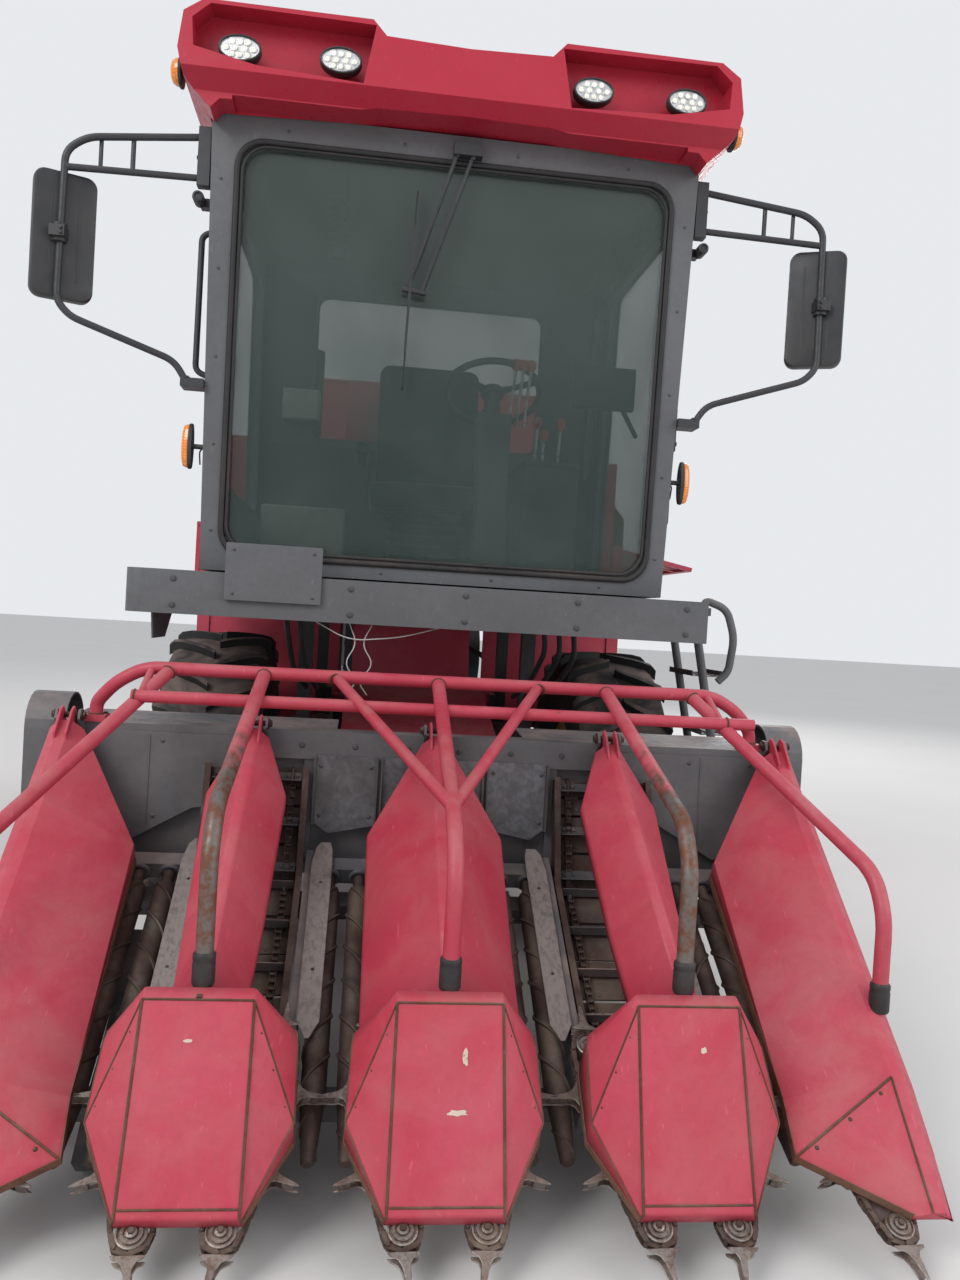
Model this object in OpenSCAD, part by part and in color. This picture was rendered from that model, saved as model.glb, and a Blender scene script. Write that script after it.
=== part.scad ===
// Self-propelled corn combine harvester: four-row ear-snapping header, cab,
// ear elevator, husker, side-tipping ear tank and stalk chopper.
// +Z is up, the front faces -Y, +X is the machine's left-hand side.
// The origin lies on the ground, midway along the machine, on its centre plane.

/* [Header rows] */
// Distance between two neighbouring snouts
row_pitch = 570; // [540:5:600]
// Slope of the rolls and gathering chains
row_angle = 30; // [29:1:31]
// Y of the front idlers' axes
idler_y = -3790; // [-3800:5:-3780]
// Height of the front idlers' axes
idler_z = 135; // [125:5:160]
// Length of a row unit along its slope
row_length = 1230; // [1200:10:1250]
// X of the stalk line beside the centre snout
inner_stalk = 265; // [262:1:270]
// X of the stalk line beside an outer snout
outer_stalk = 842; // [838:1:848]
// Half the width of the centre snout
centre_snout_half = 205; // [195:5:210]
// Half the width of an inner snout
inner_snout_half = 85; // [75:5:95]
// Height of a snout's ridge over the row plane
ridge_h = 257; // [250:1:262]
// Thickness of the folded snout sheet
sheet = 5; // [4:1:8]
// Radius of a snapping roll's core
roll_r = 37; // [32:1:39]
// Half the distance between the two rolls of a row
roll_half_gap = 45; // [44:1:48]
// Width of an ear conveyor
conveyor_w = 220; // [200:5:224]

/* [Gathering chains] */
// Radius of a chain's loop round its idlers
chain_r = 42; // [36:2:46]
// Thickness of the chain across its run
chain_t = 16; // [12:2:20]
// Width of the chain along the idler's axis
chain_w = 26; // [20:2:30]
// Reach of a lug beyond the chain
lug_l = 78; // [60:2:80]
// Distance between lugs along the chain
lug_pitch = 200; // [180:10:240]

/* [Header frame] */
// Y of the back beam's front face
beam_y = -2650; // [-2670:10:-2640]
// Height of the back beam's top
beam_top = 1050; // [1030:5:1060]
// Size of the square back beam
beam_size = 90; // [80:5:100]
// Half the inner width between the header's side plates
header_half = 1190; // [1180:5:1200]
// Diameter of the cross auger over its flights
auger_d = 360; // [320:10:380]
// Diameter of the auger's tube
auger_tube_d = 140; // [120:10:160]
// Diameter of the guard rail's tube
rail_d = 42; // [38:1:46]
// Height of the guard rail's upper tube
rail_top_z = 1230; // [1215:5:1240]

/* [Feeder house] */
// Y of the header's lift pivot
lift_y = -930; // [-950:10:-910]
// Height of the header's lift pivot
lift_z = 1010; // [1000:5:1020]
// Width of the feeder house
feeder_w = 640; // [600:10:660]
// Depth of the feeder house
feeder_h = 330; // [300:10:340]

/* [Wheels] */
// Diameter of a front tyre
front_tyre_d = 1320; // [1280:10:1330]
// Width of a front tyre
front_tyre_w = 420; // [380:10:430]
// Distance between the front wheels' centre planes
front_track = 1720; // [1700:10:1740]
// Y of the front axle
front_axle_y = -1290; // [-1300:10:-1270]
// Diameter of a rear tyre
rear_tyre_d = 860; // [820:10:880]
// Width of a rear tyre
rear_tyre_w = 280; // [260:10:290]
// Distance between the rear wheels' centre planes
rear_track = 1760; // [1740:10:1780]
// Y of the rear axle
rear_axle_y = 1900; // [1880:10:1920]

/* [Cab] */
// Y of the cab's front at its floor
cab_front = -2290; // [-2300:10:-2270]
// Y of the cab's back
cab_back = -860; // [-880:10:-840]
// Half the cab's width at its floor
cab_half = 835; // [820:5:850]
// Height of the cab floor's underside
cab_floor_z = 1560; // [1555:5:1570]
// Height of the cab frame's top
cab_top_z = 3130; // [3110:10:3140]
// Forward lean of the windscreen's top
cab_lean = 70; // [50:5:90]
// Depth of a cab pillar
pillar = 70; // [60:5:80]
// Thickness of the cab's glass
glass_t = 6; // [5:1:8]
// Top of the roof's lamp pods
roof_top_z = 3450; // [3430:5:3470]
// Half the roof's width
roof_half = 955; // [940:5:960]
// Y of the roof's front
roof_front = -2530; // [-2550:10:-2510]

/* [Platform] */
// Top of the platform floor
platform_z = 1545; // [1540:5:1550]
// Height of the platform's front beam
platform_beam_h = 150; // [140:5:160]
// Y of the front beam's front face
platform_front = -2410; // [-2420:5:-2400]
// X of the platform's right-hand end
platform_right = -1065; // [-1080:5:-1050]
// X of the platform's left-hand end
platform_left = 980; // [960:5:990]

/* [Body] */
// Half the distance between the chassis beams' centres
chassis_half = 430; // [420:5:440]
// Underside of the chassis beams
chassis_z = 780; // [770:5:790]
// Height of a chassis beam
chassis_h = 160; // [150:5:170]
// Half the body's width over its side panels
body_half = 1090; // [1080:5:1095]
// Y of the body's front
body_front = -700; // [-720:10:-690]
// Y of the body's back
body_back = 1340; // [1320:10:1350]
// Top of the side openings
body_top = 1830; // [1810:10:1840]
// Height of a hinged side cover
cover_h = 375; // [360:5:380]
// Angle at which the left cover stands open
cover_open = 79; // [70:1:85]

/* [Ear tank] */
// Y of the ear tank's front
tank_front = 1400; // [1390:5:1410]
// Y of the ear tank's back
tank_back = 3480; // [3450:10:3500]
// Underside of the ear tank
tank_floor_z = 1760; // [1750:5:1780]
// Top of the ear tank
tank_top_z = 3080; // [3000:10:3120]
// Half the ear tank's width
tank_half = 1080; // [1060:5:1090]

/* [Chopper] */
// Y of the chopper's rotor
chopper_y = 420; // [400:10:440]
// Height of the chopper's rotor
chopper_z = 345; // [335:5:350]
// Radius of the chopper's knives
chopper_r = 190; // [180:5:200]
// Half the chopper's width
chopper_half = 1000; // [960:10:1010]

/* [Hidden] */
$fn = 48;

// Paint
paint_red = [0.72, 0.05, 0.12];
paint_grey = [0.22, 0.23, 0.26];
bare_steel = [0.45, 0.44, 0.43];
rubber_black = [0.05, 0.05, 0.05];

// Row positions: x of the snouts, of the stalk lines and of the conveyors
snout_x = [for (i = [-2:2]) i * row_pitch];
stalk_x = [-outer_stalk, -inner_stalk, inner_stalk, outer_stalk];
outer_snout_in = 255;
outer_snout_out = header_half - 2 * row_pitch - 0.3;
nose_l = 318;
snout_l = 1392;
pin_u = 1422;
pin_w = 262;

// Small shapes
module tube(a, b, r) {
    d = b - a;
    len = norm(d);
    translate(a)
        rotate([0, acos(d[2] / len), atan2(d[1], d[0])])
            cylinder(h = len, r = r);
}

// A bent tube: straight lengths with a round knuckle at each bend
module tube_path(points, r) {
    for (i = [0:len(points) - 2])
        tube(points[i], points[i + 1], r);
    for (i = [1:1:len(points) - 2])
        translate(points[i]) sphere(r = r * 1.05);
}

module x_cylinder(x0, x1, y, z, r) {
    translate([x0, y, z]) rotate([0, 90, 0]) cylinder(h = x1 - x0, r = r);
}

module x_tube(x0, x1, y, z, r, bore) {
    difference() {
        x_cylinder(x0, x1, y, z, r);
        x_cylinder(x0 - 1, x1 + 1, y, z, bore);
    }
}

module y_cylinder(y0, y1, x, z, r) {
    translate([x, y1, z]) rotate([90, 0, 0]) cylinder(h = y1 - y0, r = r);
}

module box(x0, x1, y0, y1, z0, z1) {
    translate([x0, y0, z0]) cube([x1 - x0, y1 - y0, z1 - z0]);
}

// Extrudes a y,z profile from x0 to x1
module side_profile(x0, x1, points) {
    translate([x0, 0, 0]) rotate([90, 0, 90]) linear_extrude(x1 - x0) polygon(points);
}

// Extrudes an x,z profile from y0 to y1
module front_profile(y0, y1, points) {
    translate([0, y1, 0]) rotate([90, 0, 0]) linear_extrude(y1 - y0) polygon(points);
}

module mirrored_pair() {
    children();
    mirror([1, 0, 0]) children();
}

// A rectangle with round corners, its points in order
function round_rect(x0, x1, y0, y1, r, steps = 5) = [
    for (c = [[x1 - r, y1 - r, 0], [x0 + r, y1 - r, 90], [x0 + r, y0 + r, 180], [x1 - r, y0 + r, 270]])
        for (k = [0:steps]) [c[0] + r * cos(c[2] + 90 * k / steps), c[1] + r * sin(c[2] + 90 * k / steps)]
];

// The outline of a belt at radius r round wheel centres given counter-clockwise
function edge_angle(a, b) = atan2(b[1] - a[1], b[0] - a[0]);
function turn(a, b) = (b - a + 720) % 360;
function belt_outline(centres, r, steps = 6) = [
    for (i = [0:len(centres) - 1])
        let (n = len(centres),
             before = edge_angle(centres[(i + n - 1) % n], centres[i]) - 90,
             after = edge_angle(centres[i], centres[(i + 1) % n]) - 90,
             arc = turn(before, after))
            for (k = [0:steps])
                centres[i] + r * [cos(before + arc * k / steps), sin(before + arc * k / steps)]
];
function sum_to(lengths, n) = n <= 0 ? 0 : lengths[n - 1] + sum_to(lengths, n - 1);
function side_lengths(points) = [
    for (i = [0:len(points) - 1]) norm(points[(i + 1) % len(points)] - points[i])
];

// Skin between sections with equal point counts, closed at both ends
module loft(sections) {
    n = len(sections[0]);
    m = len(sections);
    points = [for (s = sections) for (p = s) p];
    faces = concat(
        [[for (k = [0:n - 1]) k]],
        [for (s = [0:m - 2]) for (k = [0:n - 1])
            let (a = s * n + k, b = s * n + (k + 1) % n)
                for (f = k < n / 2 ? [[a, a + n, b + n], [a, b + n, b]] : [[a, a + n, b], [b, a + n, b + n]]) f],
        [[for (k = [n - 1:-1:0]) (m - 1) * n + k]]
    );
    polyhedron(points, faces, convexity = 6);
}

// The row plane: local x is across, y runs up the slope, z stands off it
module row_frame() {
    translate([0, idler_y, idler_z]) rotate([row_angle, 0, 0]) children();
}

// Y of the row plane's local point
function row_y(u, w) = idler_y + u * cos(row_angle) - w * sin(row_angle);
function row_z(u, w) = idler_z + u * sin(row_angle) + w * cos(row_angle);
function row_at(u, w) = [row_y(u, w), row_z(u, w)];

// Snouts: folded sheet covers, open below
// A snout section: low edges, shoulders and a ridge with a flat of half width f
function snout_section(x, u, half, low, shoulder, ridge, f) = [
    [x - half, u, low], [x - half, u, shoulder], [x - f, u, ridge],
    [x + f, u, ridge], [x + half, u, shoulder], [x + half, u, low]
];

// Height of the ridge over the row plane, past the nose
function ridge_at(u) = ridge_h + 8 * (u - nose_l) / (snout_l - nose_l);

// The nose: leaning front panel, side facets and the top that meets the body
module nose(x, back_half) {
    module form(t) {
        loft([
            snout_section(x, 10 + t, 134 - t, -26 - 2 * t, -10 - t, 4 - t, 132 - t),
            snout_section(x, 165, 228 - t, -24 - 2 * t, 46 - t, 0.5 * ridge_h - t, 129 - t),
            snout_section(x, nose_l, 222 - t, -20 - 2 * t, 96 - t, ridge_h - t, 125 - t),
            snout_section(x, nose_l + 30, 218 - t, -18 - 2 * t, 98 - t, ridge_h + 2 - t, 124 - t),
            snout_section(x, nose_l + 130 - t, back_half + 8 - t, 10 - 2 * t, ridge_h - 150 - t, ridge_h - 20 - t,
                24 - t)
        ]);
    }
    difference() {
        form(0);
        form(sheet);
    }
}

// The long gabled body of a middle snout, its edges drop below the ridge
module snout_body(x, front_half, half, drop) {
    module form(t) {
        loft([
            snout_section(x, nose_l + 2 + t, front_half - t, ridge_h - drop - 34 - 3 * t, ridge_h - drop - t,
                ridge_h - t, 13 - t),
            snout_section(x, 1080, half - t, ridge_at(1080) - drop + 10 - 3 * t, ridge_at(1080) - drop + 44 - t,
                ridge_at(1080) - t, 13 - t),
            snout_section(x, snout_l - t, 44 - t, 150 - 3 * t, ridge_at(snout_l) - 34 - t, ridge_at(snout_l) - t, 13 - t)
        ]);
    }
    difference() {
        form(0);
        form(sheet);
    }
}

// Hinge lug that pins a snout to the back beam
module snout_lug(x) {
    for (s = [-1, 1])
        translate([x + s * 17 - 4, snout_l - 90, ridge_at(snout_l) - 40])
            cube([8, 124, 70]);
    x_cylinder(x - 40, x + 40, pin_u, pin_w, 9);
}

module inner_snouts() {
    color(paint_red) row_frame() {
        nose(0, centre_snout_half);
        snout_body(0, centre_snout_half, centre_snout_half, 208);
        snout_lug(0);
        mirrored_pair() {
            nose(row_pitch, inner_snout_half);
            snout_body(row_pitch, inner_snout_half - 10, inner_snout_half + 10, 125);
            snout_lug(row_pitch);
        }
    }
}

// An outer snout: pointed nose, a slope towards the row, an upright outer wall
function outer_section(x, u, in, out, low, shoulder, ridge) = [
    [x - in, u, low], [x - in, u, shoulder], [x - 16, u, ridge],
    [x + min(16, out - 1), u, ridge], [x + out, u, ridge - 30], [x + out, u, low]
];
module outer_snout() {
    x = 2 * row_pitch;
    front_w = 83;
    module form(t) {
        loft([
            outer_section(x, 8 + t, 60 - t, 40 - t, -22 - 3 * t, -12 - t, 4 - t),
            outer_section(x, 150, outer_snout_in + 40 - t, outer_snout_out - t, -24 - 3 * t, -8 - t, 41 - t),
            outer_section(x, 303, outer_snout_in + 20 - t, outer_snout_out - t, -25 - 3 * t, -9 - t, front_w - t),
            outer_section(x, 1080, outer_snout_in - t, outer_snout_out - t, -20 - 3 * t, 54 - t, 213 - t),
            outer_section(x, snout_l - t, 50 - t, outer_snout_out - t, 150 - 3 * t, ridge_at(snout_l) - 34 - t,
                ridge_at(snout_l) - t)
        ]);
    }
    difference() {
        form(0);
        form(sheet);
    }
}

module outer_snouts() {
    color(paint_red) row_frame() mirrored_pair() {
        outer_snout();
        snout_lug(2 * row_pitch);
    }
}

// Gathering chains: one loop on each side of a row
chain_at_w = -40;
chain_back = 470;
wheel_r = chain_r - chain_t / 2 - 2;
roll_at_w = -98;

// x of the wheels, measured from the snout's centre towards the row
function loop_centres(reach) = [
    [92, 0], [reach - chain_r, 300], [reach - chain_r, chain_back]
];

// Each loop: snout centre, side of the snout, reach of its outer strand
chain_loops = [
    // x, side, reach
    [0, 1, 215], [row_pitch, -1, 215], [row_pitch, 1, 215], [2 * row_pitch, -1, 215]
];

module lug() {
    linear_extrude(8)
        polygon([[-38, -2], [-30, 6], [-12, 14], [-2, 34], [6, lug_l - 8], [12, lug_l], [15, lug_l - 10],
            [14, 30], [22, 12], [36, 6], [40, -2]]);
}

module chain_loop(centres) {
    line = belt_outline(centres, chain_r);
    lengths = side_lengths(line);
    total = sum_to(lengths, len(lengths));
    count = floor(total / lug_pitch);
    translate([0, 0, -chain_w / 2])
        linear_extrude(chain_w)
            difference() {
                polygon(belt_outline(centres, chain_r + chain_t / 2));
                polygon(belt_outline(centres, chain_r - chain_t / 2));
            }
    for (k = [0:count - 1])
        let (s = (k + 0.35) * total / count,
             i = [for (j = [0:len(lengths) - 1]) if (sum_to(lengths, j) <= s && s < sum_to(lengths, j + 1)) j][0],
             a = line[i],
             b = line[(i + 1) % len(line)],
             p = a + (b - a) * (s - sum_to(lengths, i)) / lengths[i])
            translate([p[0], p[1], -4])
                rotate([0, 0, edge_angle(a, b) + 180])
                    translate([0, chain_t / 2 - 1, 0]) lug();
}

module at_loop(l) translate([l[0], 0, 0]) mirror([l[1] < 0 ? 1 : 0, 0, 0]) children();

module gathering_chains() {
    color(bare_steel) row_frame() mirrored_pair()
        for (l = chain_loops)
            at_loop(l) translate([0, 0, chain_at_w]) difference() {
                chain_loop(loop_centres(l[2]));
                for (c = loop_centres(l[2]))
                    translate([c[0], c[1], -15]) cylinder(h = 30, r = wheel_r + 0.3);
            }
}

// Row units: chain wheels, their carrier plates and the roll end bearings
module row_units() {
    color(paint_grey) roll_covers();
    color(paint_grey) row_frame() mirrored_pair() {
        for (l = chain_loops) at_loop(l) {
            for (c = loop_centres(l[2]))
                translate([c[0], c[1], chain_at_w - 14]) {
                    cylinder(h = 28, r = wheel_r);
                    translate([0, 0, -7.8]) cylinder(h = 45.8, r = 9);
                }
            translate([0, 0, chain_at_w - 21.7])
                linear_extrude(8)
                    polygon([[70, -20], [110, -24], [l[2] - 30, 260], [l[2] - 30, chain_back + 40],
                        [l[2] - 90, chain_back + 40], [l[2] - 90, 240]]);
        }
        for (x = [inner_stalk, outer_stalk])
            translate([x - 100, roll_u + 936, roll_at_w - 30]) cube([200, 50, 60]);
    }
}

// Snapping rolls: cones at the front, then ribbed cylinders
roll_u = 190;
module snapping_roll() {
    rotate([-90, 0, 0]) {
        cylinder(h = 170, r1 = 14, r2 = roll_r - 4);
        translate([0, 0, 169]) cylinder(h = 700, r = roll_r - 4);
        translate([0, 0, 868]) cylinder(h = 67.7, r = 18);
        for (k = [0:5])
            translate([0, 0, 185 + 112 * k]) cylinder(h = 14, r = roll_r);
    }
}

// Place of roll k, counted from the machine's right
module roll_place(k) {
    row = floor((k - 1) / 2);
    s = (k % 2) * -2 + 1;
    color(bare_steel) row_frame()
        translate([stalk_x[row] + s * roll_half_gap, roll_u, roll_at_w]) snapping_roll();
}
module roll_1() roll_place(1);
module roll_2() roll_place(2);
module roll_3() roll_place(3);
module roll_4() roll_place(4);
module roll_5() roll_place(5);
module roll_6() roll_place(6);
module roll_7() roll_place(7);
module roll_8() roll_place(8);

// Roll covers: boards over the edge of a roll, on the row's carriers
carrier_top = -62;
board_w = 58;
module roll_covers() {
    edge = roll_half_gap + 24;
    row_frame() mirrored_pair()
        for (x = [inner_stalk + edge, outer_stalk - edge - board_w])
            translate([x, chain_back + 75, carrier_top + 0.3]) cube([board_w, row_length - chain_back - 90, 13.7]);
}

// Ear conveyors: a bed with side rails, two chains and cross slats
conveyor_z = -120;
conveyor_slats = 8;
module ear_conveyor() {
    half = conveyor_w / 2;
    len = row_length - 240;
    translate([row_pitch, 250, conveyor_z]) {
        for (s = [-1, 1]) {
            translate([s * half - 4, 0, -59.7]) cube([8, len, 119.7]);
            translate([s * (half - 42) - 10, 10, 0.3]) cube([20, len - 20, 29.7]);
        }
        translate([-half, 0, -8]) cube([conveyor_w, len, 8]);
        for (k = [0:conveyor_slats - 1])
            translate([-half + 10, 40 + k * (len - 80) / (conveyor_slats - 1) - 5, 14])
                cube([conveyor_w - 20, 10, 34]);
    }
}

module ear_conveyors() {
    color(bare_steel) row_frame() mirrored_pair() ear_conveyor();
}

// Header frame: back beam, back wall, auger trough, side plates and floor tubes
auger_y = beam_y + 330;
auger_z = 725;
trough_r = auger_d / 2 + 25;
module header_frame() {
    wall_bottom = auger_z - trough_r / 2 - 6;
    color(paint_grey) side_guards();
    color(paint_grey) {
        difference() {
            box(-header_half - 20, header_half + 20, beam_y, beam_y + beam_size, beam_top - beam_size, beam_top);
            box(-header_half - 30, header_half + 30, beam_y + 6, beam_y + beam_size - 6,
                beam_top - beam_size + 6, beam_top - 6);
        }
        difference() {
            box(-header_half, header_half, beam_y + 30, beam_y + 38, wall_bottom, beam_top - beam_size);
            for (s = [-1, 1])
                box(s * row_pitch - conveyor_w / 2 - 5, s * row_pitch + conveyor_w / 2 + 5, beam_y + 20, beam_y + 50,
                    wall_bottom + 30, beam_top - beam_size - 60);
        }
        // Ears for the snouts' pins
        difference() {
            for (x = snout_x) for (s = [-1, 1])
                side_profile(x + s * 34 - 4, x + s * 34 + 4, [[beam_y + 2, beam_top - 60],
                    [beam_y - 62, beam_top + 12], [beam_y - 50, beam_top + 40], [beam_y - 20, beam_top + 40],
                    [beam_y + 30, beam_top - 2]]);
            x_cylinder(-1300, 1300, row_y(pin_u, pin_w), row_z(pin_u, pin_w), 9.3);
        }
        for (s = [-1, 1]) for (x = [170, 400])
            translate([s * x - 15, beam_y + 8, wall_bottom + 20]) cube([30, 24, beam_top - beam_size - wall_bottom - 20]);
        // Auger trough: half round below, open to the feeder house
        difference() {
            union() {
                side_profile(-header_half, header_half, concat(
                    [for (a = [210:15:360]) [auger_y + (trough_r + 8) * cos(a), auger_z + (trough_r + 8) * sin(a)]],
                    [[auger_y + trough_r + 8, beam_top - 60], [auger_y + trough_r, beam_top - 60]],
                    [for (a = [360:-15:210]) [auger_y + trough_r * cos(a), auger_z + trough_r * sin(a)]]));
                box(-header_half, header_half, beam_y + 36, auger_y - trough_r * cos(30),
                    auger_z - trough_r / 2 - 6, auger_z - trough_r / 2);
            }
            box(-feeder_w / 2 + 10, feeder_w / 2 - 10, auger_y + 60, auger_y + trough_r + 60,
                auger_z - trough_r - 40, auger_z + 110);
            feeder_place() translate([-feeder_w / 2 - 0.3, 11.7, -feeder_h / 2 - 0.3])
                cube([feeder_w + 0.6, feeder_len, feeder_h + 0.6]);
        }
        mirrored_pair() difference() {
            side_profile(header_half, header_half + 8, [
                row_at(430, 40), row_at(380, -245), row_at(900, -245),
                [auger_y - 60, auger_z - trough_r - 30], [auger_y + 120, auger_z - trough_r - 30],
                [auger_y + trough_r + 12, auger_z - 80], [auger_y + trough_r + 12, beam_top - 50],
                [beam_y + beam_size + 2, beam_top - beam_size], [beam_y, beam_top - beam_size]
            ]);
            x_cylinder(-header_half - 10, header_half + 10, auger_y, auger_z, 22.3);
        }
        // Cover over the auger trough's front
        mirrored_pair()
            side_profile(feeder_w / 2, header_half, [[beam_y + beam_size, beam_top - 20],
                [auger_y + 40, beam_top - 2], [auger_y + 40, beam_top + 2], [beam_y + beam_size, beam_top - 14]]);
        // Cross tubes under the row units
        row_frame() {
            for (u = [420, row_length - 120])
                translate([-header_half, u - 30, -240]) cube([2 * header_half, 60, 60]);
            // Carriers from the cross tubes up to the row units
            for (x = [inner_stalk, outer_stalk]) for (s = [-1, 1]) mirrored_pair()
                translate([x + s * 112 - 12, 330, -182]) cube([24, row_length - 360, carrier_top + 182]);
        }
        // Skids that meet the ground under the header
        mirrored_pair()
            translate([1.5 * row_pitch, 0, 0])
                side_profile(-30, 30, [[idler_y + 430, 12], [idler_y + 900, 12], [idler_y + 1010, 60],
                    [idler_y + 960, row_z(1050, -240)], [idler_y + 480, row_z(440, -240)], [idler_y + 380, 60]]);
    }
}

module cross_auger() {
    len = 2 * header_half - 20;
    flight_pitch = 280;
    half_flights = 4;
    color(bare_steel) {
        x_cylinder(-len / 2, len / 2, auger_y, auger_z, auger_tube_d / 2);
        mirrored_pair() x_cylinder(len / 2 - 1, len / 2 + 16, auger_y, auger_z, 22);
        mirrored_pair()
            for (k = [0:half_flights - 1])
                translate([330 + k * 210, auger_y, auger_z])
                    rotate([0, 90, 0]) auger_turn(210);
        for (k = [0:3])
            translate([0, auger_y, auger_z]) rotate([90 * k, 0, 0])
                translate([-150, auger_tube_d / 2 - 4, -5]) cube([300, 90, 10]);
    }
}

// One turn of auger flight as a ring of tilted sectors
module auger_turn(pitch) {
    steps = 12;
    r0 = auger_tube_d / 2 - 3;
    r1 = auger_d / 2;
    function blade(a, h) = [[r0 * cos(a), r0 * sin(a), h], [r0 * cos(a), r0 * sin(a), h + 10],
        [r1 * cos(a), r1 * sin(a), h + 10], [r1 * cos(a), r1 * sin(a), h]];
    loft([for (k = [0:steps]) blade(k * 340 / steps, k * (pitch - 14) / steps)]);
}

// Guard rail: two cross tubes and five legs with rubber boots
rail_y = beam_y - 20;
rail_low_y = rail_y - 160;
rail_low_z = rail_top_z - 76;
leg_bend_y = -3575;
boot_l = 75;
function leg_end_z(x) = x == 2 ? 466 : 546;
function leg_y(x) = x == 2 ? -3420 : -3575;
module row_profile(half, points)
    side_profile(-half, half, [for (p = points) row_at(p[0], p[1])]);
module guard_rail() {
    r = rail_d / 2;
    neck_y = leg_bend_y + 120;
    color(paint_red) {
        tube_path([[-1075, rail_y + 44, beam_top + 8], [-1075, rail_y + 44, beam_top + 60],
            [-1010, rail_y + 6, rail_top_z - 50], [-920, rail_y, rail_top_z], [920, rail_y, rail_top_z],
            [1010, rail_y + 6, rail_top_z - 50], [1075, rail_y + 44, beam_top + 60], [1075, rail_y + 44, beam_top + 8]], r);
        x_cylinder(-925, 1005, rail_low_y, rail_low_z, r * 0.9);
        mirrored_pair() {
            tube([900, rail_low_y, rail_low_z], [900, rail_y, rail_top_z], 12);
            box(1040, 2 * row_pitch - 38.3, beam_y - 8, beam_y + 60, beam_top, beam_top + 22);
            // Outer and inner legs
            for (x = [1, 2])
                tube_path([[x == 1 ? row_pitch * 0.97 : 840, rail_y, rail_top_z],
                    [x * row_pitch, leg_y(x) + 70, leg_end_z(x) + 414], [x * row_pitch, leg_y(x), leg_end_z(x) + 314],
                    [x * row_pitch, leg_y(x), leg_end_z(x) + 60]], r);
            tube([330, rail_y, rail_top_z], [0, neck_y + 40, 965], r * 0.8);
        }
        tube_path([[0, rail_y, rail_top_z], [0, neck_y, 950], [0, leg_bend_y, 850],
            [0, leg_bend_y - 4, leg_end_z(0) + 60]], r);
        // Boots, cut to seat on the snouts
        difference() {
            for (x = [-2:2])
                translate([x * row_pitch, leg_y(abs(x)), leg_end_z(abs(x))]) cylinder(h = boot_l, r = r + 7);
            row_profile(700, [[200, 0], [200, ridge_h + 2.5], [700, ridge_h + 2.5], [700, 0]]);
            row_profile(1300, [[300, 0], [300, 83.3], [1080, 213.5], [1080, 0]]);
        }
    }
}

// Side guards: round-topped hoops over the header's side drives
guard_r = 115;
module side_guards() {
    w = 140;
    mirrored_pair()
        difference() {
            side_profile(header_half + 8, header_half + 8 + w, concat(
                [[beam_y + 400, 520], [beam_y + 170, 520]],
                [for (a = [180:-15:0]) [beam_y + 285 + guard_r * cos(a), 1000 + guard_r * sin(a)]]));
            side_profile(header_half + 14, header_half + 2 + w, concat(
                [[beam_y + 394, 500], [beam_y + 176, 500]],
                [for (a = [180:-15:0]) [beam_y + 285 + (guard_r - 6) * cos(a), 1000 + (guard_r - 6) * sin(a)]]));
            box(header_half, header_half + 20, beam_y + 176, beam_y + 394, 960, 1200);
        }
}

// Feeder house: a box of four walls from the auger to the lift pivot
feeder_front_y = auger_y + trough_r + 10;
feeder_front_z = auger_z - 20;
feeder_angle = atan2(lift_z - feeder_front_z, lift_y - feeder_front_y);
feeder_len = norm([lift_y - feeder_front_y, lift_z - feeder_front_z]);
module feeder_place() {
    translate([0, feeder_front_y, feeder_front_z]) rotate([feeder_angle, 0, 0]) children();
}
module feeder_house() {
    color(paint_red) {
        feeder_place()
            difference() {
                translate([-feeder_w / 2, 12, -feeder_h / 2]) cube([feeder_w, feeder_len - 150, feeder_h]);
                translate([-feeder_w / 2 + 6, -10, -feeder_h / 2 + 6]) cube([feeder_w - 12, feeder_len, feeder_h - 12]);
            }
        for (s = [-1, 1]) {
            // Pivot arms
            side_profile(s * (feeder_w / 2 - 4) - 8, s * (feeder_w / 2 - 4) + 8, [
                [lift_y - 330, lift_z - 190], [lift_y - 30, lift_z - 60], [lift_y + 50, lift_z - 40],
                [lift_y + 60, lift_z + 40], [lift_y - 10, lift_z + 60], [lift_y - 330, lift_z + 40]]);
            // Lift lugs below
            side_profile(s * 257.7 - 10, s * 257.7 + 10, [
                [feeder_front_y + 40, feeder_front_z - 120], [feeder_front_y + 220, feeder_front_z - 90],
                [feeder_front_y + 160, feeder_front_z - 230], [feeder_front_y + 100, feeder_front_z - 240]]);
        }
        x_cylinder(-feeder_w / 2 - 88, feeder_w / 2 + 88, lift_y, lift_z, 30);
    }
}

// Lift cylinders under the feeder house
lift_pin_y = feeder_front_y + 128;
lift_pin_z = feeder_front_z - 205;
lift_base_y = -1010;
lift_base_z = 470;
lift_x = 290;
lift_dir = [0, lift_pin_y - lift_base_y, lift_pin_z - lift_base_z];
lift_span = norm(lift_dir);
module lift_barrels() {
    color(paint_grey) mirrored_pair() {
        base = [lift_x, lift_base_y, lift_base_z];
        difference() {
            tube(base + lift_dir * (40 / lift_span), base + lift_dir * (600 / lift_span), 38);
            tube(base + lift_dir * (80 / lift_span), base + lift_dir * (610 / lift_span), 22);
        }
        x_tube(lift_x - 22, lift_x + 22, lift_base_y, lift_base_z, 42, 20.5);
    }
}

module lift_rods() {
    color([0.8, 0.8, 0.82]) mirrored_pair() {
        base = [lift_x, lift_base_y, lift_base_z];
        tube(base + lift_dir * (260 / lift_span), base + lift_dir * ((lift_span - 30) / lift_span), 20);
        x_cylinder(lift_x - 22, lift_x + 22, lift_pin_y, lift_pin_z, 32);
    }
}

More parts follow.
